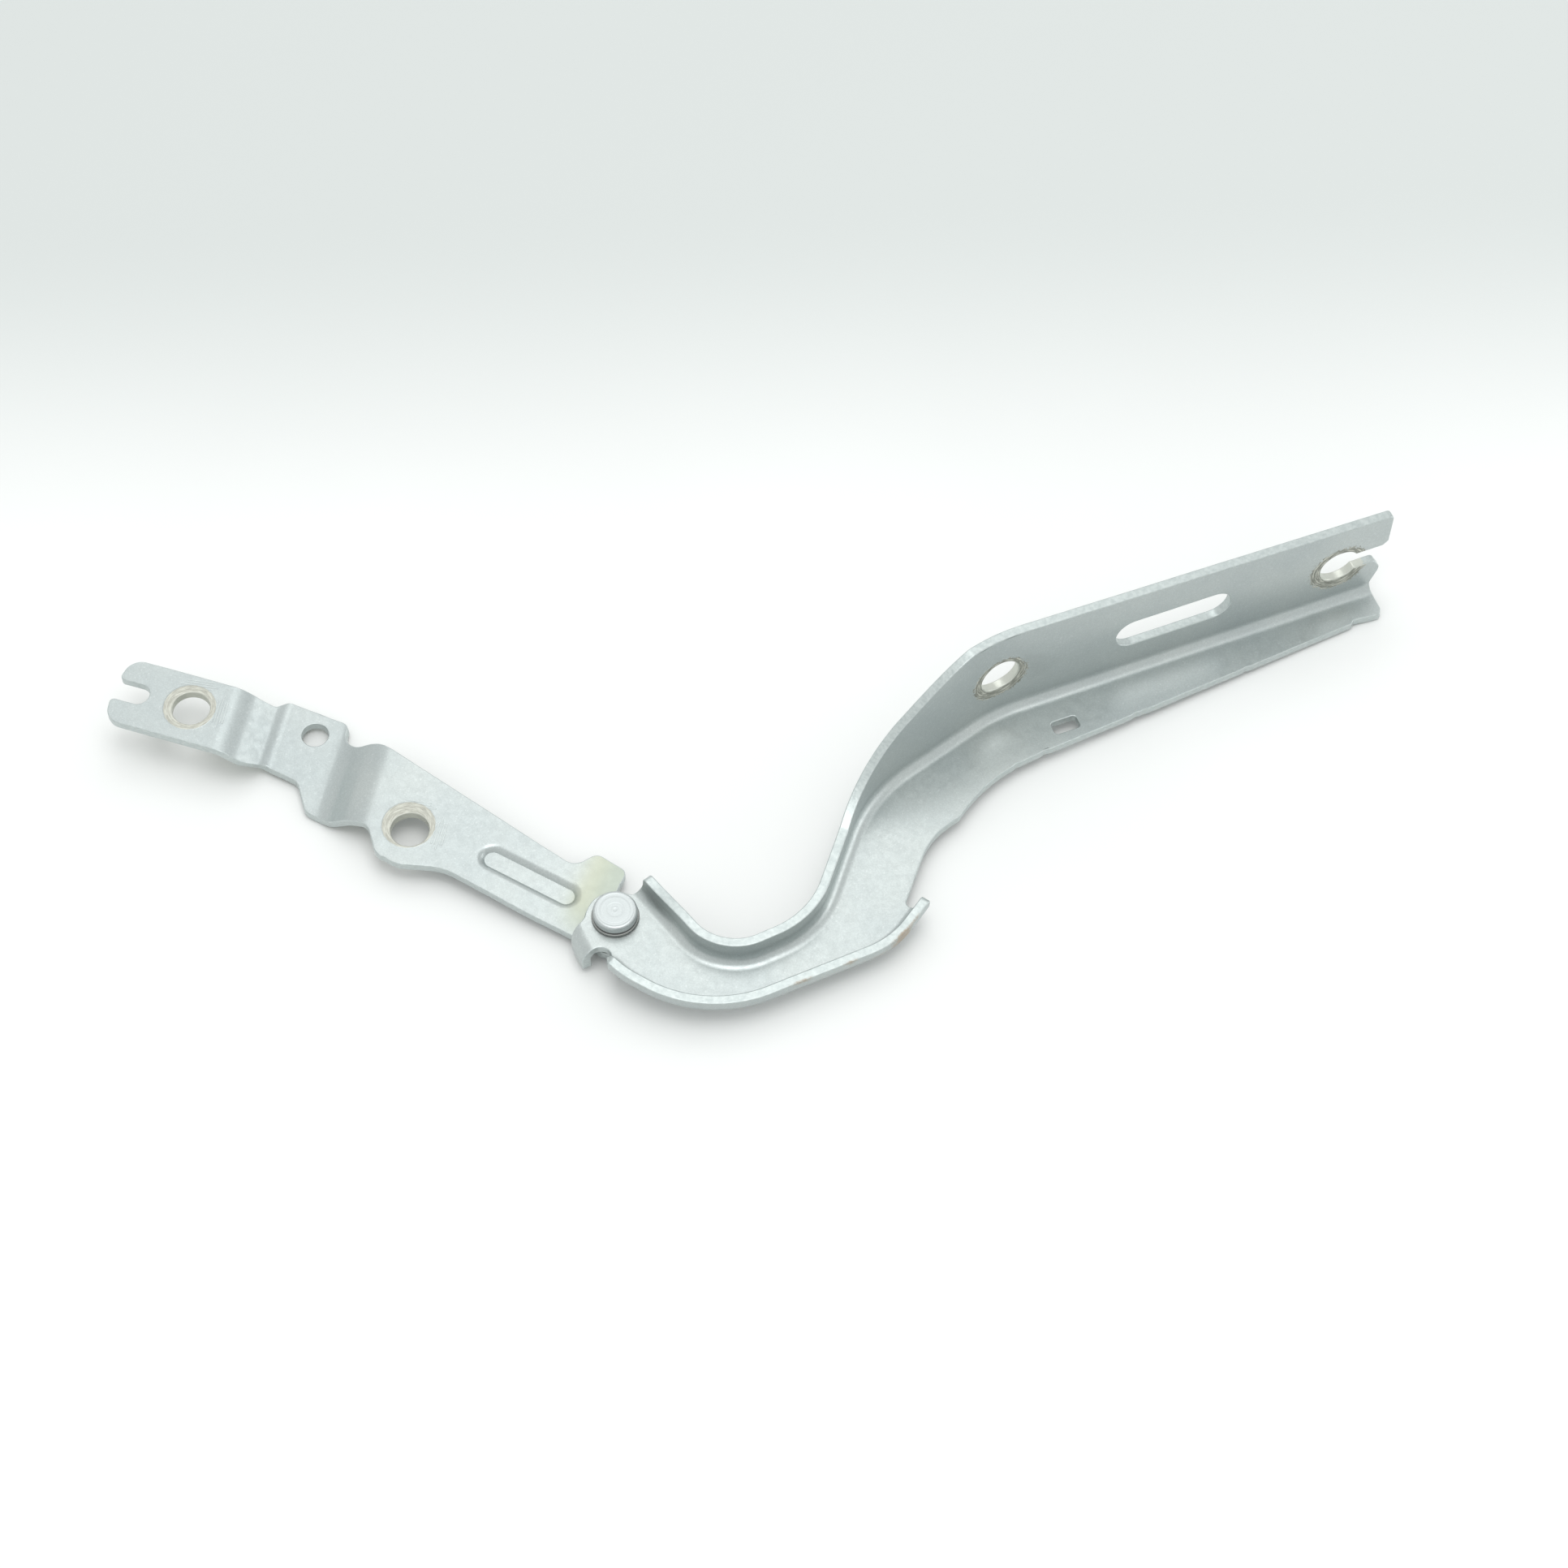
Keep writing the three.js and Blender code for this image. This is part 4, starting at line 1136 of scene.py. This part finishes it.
class HINGE_OT_pivot(bpy.types.Operator):
    """Turn the rivet, bush, thrust washer and collar of the pivot"""

    bl_idname = "hinge.pivot"
    bl_label = "Riveted pivot"

    def execute(self, context):
        paint = turned_material("rivet_paint", (0.54, 0.58, 0.58), 0.72, 2.2)
        bronze = turned_material("bush_metal", (0.30, 0.31, 0.30), 0.75, 3.0)
        steel = turned_material("washer_metal", (0.42, 0.43, 0.43), 0.9, 3.0)
        bore, face, floor = SHANK_R + CLEAR, HEAD_TOP - 0.02, HEAD_TOP - 0.05
        rivet = dome("rivet", [
            (0, TAIL_BOTTOM), (TAIL_R, TAIL_BOTTOM, 0.45), (TAIL_R, TAIL_TOP, 0.1), (SHANK_R, TAIL_TOP, 0.1),
            (SHANK_R, HEAD_BOTTOM, 0.1), (HEAD_R, HEAD_BOTTOM, 0.2), (HEAD_R, HEAD_TOP, 0.75),
            (5.7, HEAD_TOP, 0.6), (5.5, floor, 0.4), (4.6, floor, 0.4), (4.4, face, 0.4), (2.6, face, 0.4),
            (2.4, floor, 0.4), (1.3, floor, 0.4), (0.8, face, 0.4), (0.4, HEAD_TOP - 0.08, 0.3),
            (0, HEAD_TOP - 0.08),
        ], paint)
        bush = turned_ring("bush", [
            (bore, WEB_TOP - SHEET), (BUSH_R, WEB_TOP - SHEET), (BUSH_R, WEB_TOP + CLEAR, 0.1),
            (BUSH_FLANGE_R, WEB_TOP + CLEAR), (BUSH_FLANGE_R, BUSH_FLANGE_TOP), (bore, BUSH_FLANGE_TOP),
        ], bronze)
        washer = turned_ring("thrust_ring", [
            (bore, CLEAR), (WASHER_R, CLEAR), (WASHER_R, WASHER_TOP), (bore, WASHER_TOP),
        ], steel)
        collar = turned_ring("collar", [
            (bore, COLLAR_BOTTOM), (COLLAR_R, COLLAR_BOTTOM), (COLLAR_R, 0), (bore, 0),
        ], paint)
        for piece, node, body, slot in (
            (rivet, "pivot_rivet", "bracket", "rivet_paint"),
            (bush, "pivot_bush", "arm", "bush_bronze"),
            (washer, "thrust_washer", "bracket", "washer_steel"),
            (collar, "pivot_collar", "bracket", "rivet_paint"),
        ):
            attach(piece, body)
            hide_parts(node)
        return {"FINISHED"}


# where the hinge rests: the rivet's tail, the far corner of the arm, and the joggle of the bracket
FLOOR_POINTS = np.array([(4.3, -0.6, TAIL_BOTTOM), (150.5, 216.2, 2.6), (-102.9, -8.7, -11.1)])
# in metres: the gap under the hinge, where the floor begins to level off, and over what distance
FLOOR_GAP = 0.0002
FLOOR_NEAR = 0.26
FLOOR_EASE = 0.06
# the way to the back of the floor, and how far along it the colour begins and ends its change: painted shade,
# darker and cooler towards the back
FLOOR_BACK = (-0.502, 0.865, 0.0)
FLOOR_FADE = (0.12, 0.3)
# name, place, width and power of each lamp, all aimed at one point over the floor
LAMPS = (
    ("overhead", (0.1, -0.1, 1.6), 0.9, 7), ("behind", (-0.46, 0.62, 1.55), 0.8, 2.4),
    ("right", (1.5, 1.25, 0.4), 1.1, 5.5),
)
LAMPS_AIM = Vector((0, 0, 0.02))
CAMERA_FROM_PIVOT = Vector((0.3227, -0.4780, 0.9781))
CAMERA_RIGHT = Vector((0.8674, 0.4976, 0.0086))
CAMERA_UP = Vector((-0.4231, 0.7282, 0.5392))


def floor_height(x, y):
    """Height of the floor: the plane that the hinge rests on, levelled off away from it. Past
    FLOOR_NEAR the radius grows ever more slowly in the plane's equation, so the floor becomes level."""
    a, b, c = FLOOR_POINTS * MM + PIVOT
    normal = np.cross(b - a, c - a)
    radius = np.hypot(x, y) + 1e-9
    past = FLOOR_EASE * (1 - np.exp(-np.maximum(radius - FLOOR_NEAR, 0) / FLOOR_EASE))
    kept = np.where(radius < FLOOR_NEAR, radius, FLOOR_NEAR + past)
    px, py = x * kept / radius, y * kept / radius
    return a[2] - (normal[0] * (px - a[0]) + normal[1] * (py - a[1])) / normal[2] - FLOOR_GAP


class HINGE_OT_stage(bpy.types.Operator):
    """Lay the pale floor and place the lights and the camera"""

    bl_idname = "hinge.stage"
    bl_label = "Floor, light and camera"

    def execute(self, context):
        stage = context.scene.hinge_stage
        self.lay_floor(stage)
        self.light()
        self.place_camera(stage)
        return {"FINISHED"}

    def lay_floor(self, stage):
        """A round floor, finer near the hinge, with a darker, cooler colour towards its back that is painted
        shade.
        """
        radii = np.concatenate([np.linspace(0, 0.5, 60), np.geomspace(0.52, stage.floor_size, 30)])
        angle = np.linspace(0, 2 * math.pi, 96, endpoint=False)
        r, t = np.meshgrid(radii, angle, indexing="ij")
        x, y = (r * np.cos(t)).ravel(), (r * np.sin(t)).ravel()
        points = np.stack([x, y, floor_height(x, y)], 1)
        many = len(angle)
        rows = np.arange(len(radii) - 1)[:, None] * many
        i = (rows + np.arange(many)).ravel()
        j = (rows + (np.arange(many) + 1) % many).ravel()
        mesh = bpy.data.meshes.new("floor")
        mesh.from_pydata(points.tolist(), [], np.stack([i, i + many, j + many, j], 1).tolist())
        mesh.polygons.foreach_set("use_smooth", np.ones(len(mesh.polygons), bool))
        material, tree = blank_material("pale_floor")
        where = put(tree, "TexCoord", out="Object")
        cloud = noise(tree, where, 6.0, 3)
        dusty = tuple(c * 0.97 for c in stage.floor_colour)
        colour = tinted(tree, between(tree, cloud, 0.3, 0.7), stage.floor_colour, dusty)
        # painted shade: the floor darkens and cools towards its back
        back = put(tree, "VectorMath", {0: where, 1: FLOOR_BACK}, operation="DOT_PRODUCT", out="Value")
        begin, end = np.dot(FLOOR_BACK, PIVOT) + FLOOR_FADE
        colour = tinted(tree, between(tree, back, begin, end), colour, stage.floor_back_shade)
        shader = tree.nodes["Principled BSDF"]
        feed(tree, shader.inputs["Base Color"], colour)
        feed(tree, shader.inputs["Roughness"], 0.8)
        mesh.materials.append(material)
        floor = bpy.data.objects.new("floor", mesh)
        bpy.context.scene.collection.objects.link(floor)

    def light(self):
        world = bpy.data.worlds.new("studio")
        bpy.context.scene.world = world
        world.use_nodes = True
        back = world.node_tree.nodes["Background"]
        back.inputs["Color"].default_value = (0.985, 1.0, 0.995, 1)
        back.inputs["Strength"].default_value = 0.93
        for name, place, size, power in LAMPS:
            lamp = bpy.data.lights.new(name, "AREA")
            lamp.shape, lamp.size, lamp.energy = "SQUARE", size, power
            holder = bpy.data.objects.new(name, lamp)
            holder.location = place
            holder.rotation_euler = (LAMPS_AIM - Vector(place)).to_track_quat("-Z", "Y").to_euler()
            bpy.context.scene.collection.objects.link(holder)

    def place_camera(self, stage):
        camera = bpy.data.cameras.new("camera")
        camera.lens, camera.sensor_width = stage.lens, 36
        holder = bpy.data.objects.new("camera", camera)
        turn = Matrix((CAMERA_RIGHT, CAMERA_UP, CAMERA_RIGHT.cross(CAMERA_UP))).transposed()
        place = Matrix.Translation(Vector(PIVOT) + CAMERA_FROM_PIVOT)
        holder.matrix_world = place @ turn.to_4x4()
        bpy.context.scene.collection.objects.link(holder)
        bpy.context.scene.camera = holder
        bpy.context.scene.view_settings.view_transform = "Standard"


class HINGE_PT_panel(bpy.types.Panel):
    """Sidebar list of the hinge's pieces and settings"""

    bl_label = "Bonnet hinge"
    bl_idname = "HINGE_PT_panel"
    bl_space_type = "VIEW_3D"
    bl_region_type = "UI"
    bl_category = "Bonnet hinge"

    def draw(self, context):
        for step in STEPS:
            self.layout.operator(step.bl_idname)
        for group in (context.scene.hinge_colours, context.scene.hinge_stage):
            for key in group.__annotations__:
                self.layout.prop(group, key)


STEPS = (HINGE_OT_bracket, HINGE_OT_arm, HINGE_OT_pivot, HINGE_OT_stage)
CLASSES = (HingeColours, StageSettings, *STEPS, HINGE_PT_panel)


def register():
    for each in CLASSES:
        bpy.utils.register_class(each)
    bpy.types.Scene.hinge_colours = bpy.props.PointerProperty(type=HingeColours)
    bpy.types.Scene.hinge_stage = bpy.props.PointerProperty(type=StageSettings)


def unregister():
    del bpy.types.Scene.hinge_stage
    del bpy.types.Scene.hinge_colours
    for each in reversed(CLASSES):
        bpy.utils.unregister_class(each)


def main():
    register()
    bpy.ops.hinge.bracket()
    bpy.ops.hinge.arm()
    bpy.ops.hinge.pivot()
    bpy.ops.hinge.stage()


if __name__ == "__main__":
    main()
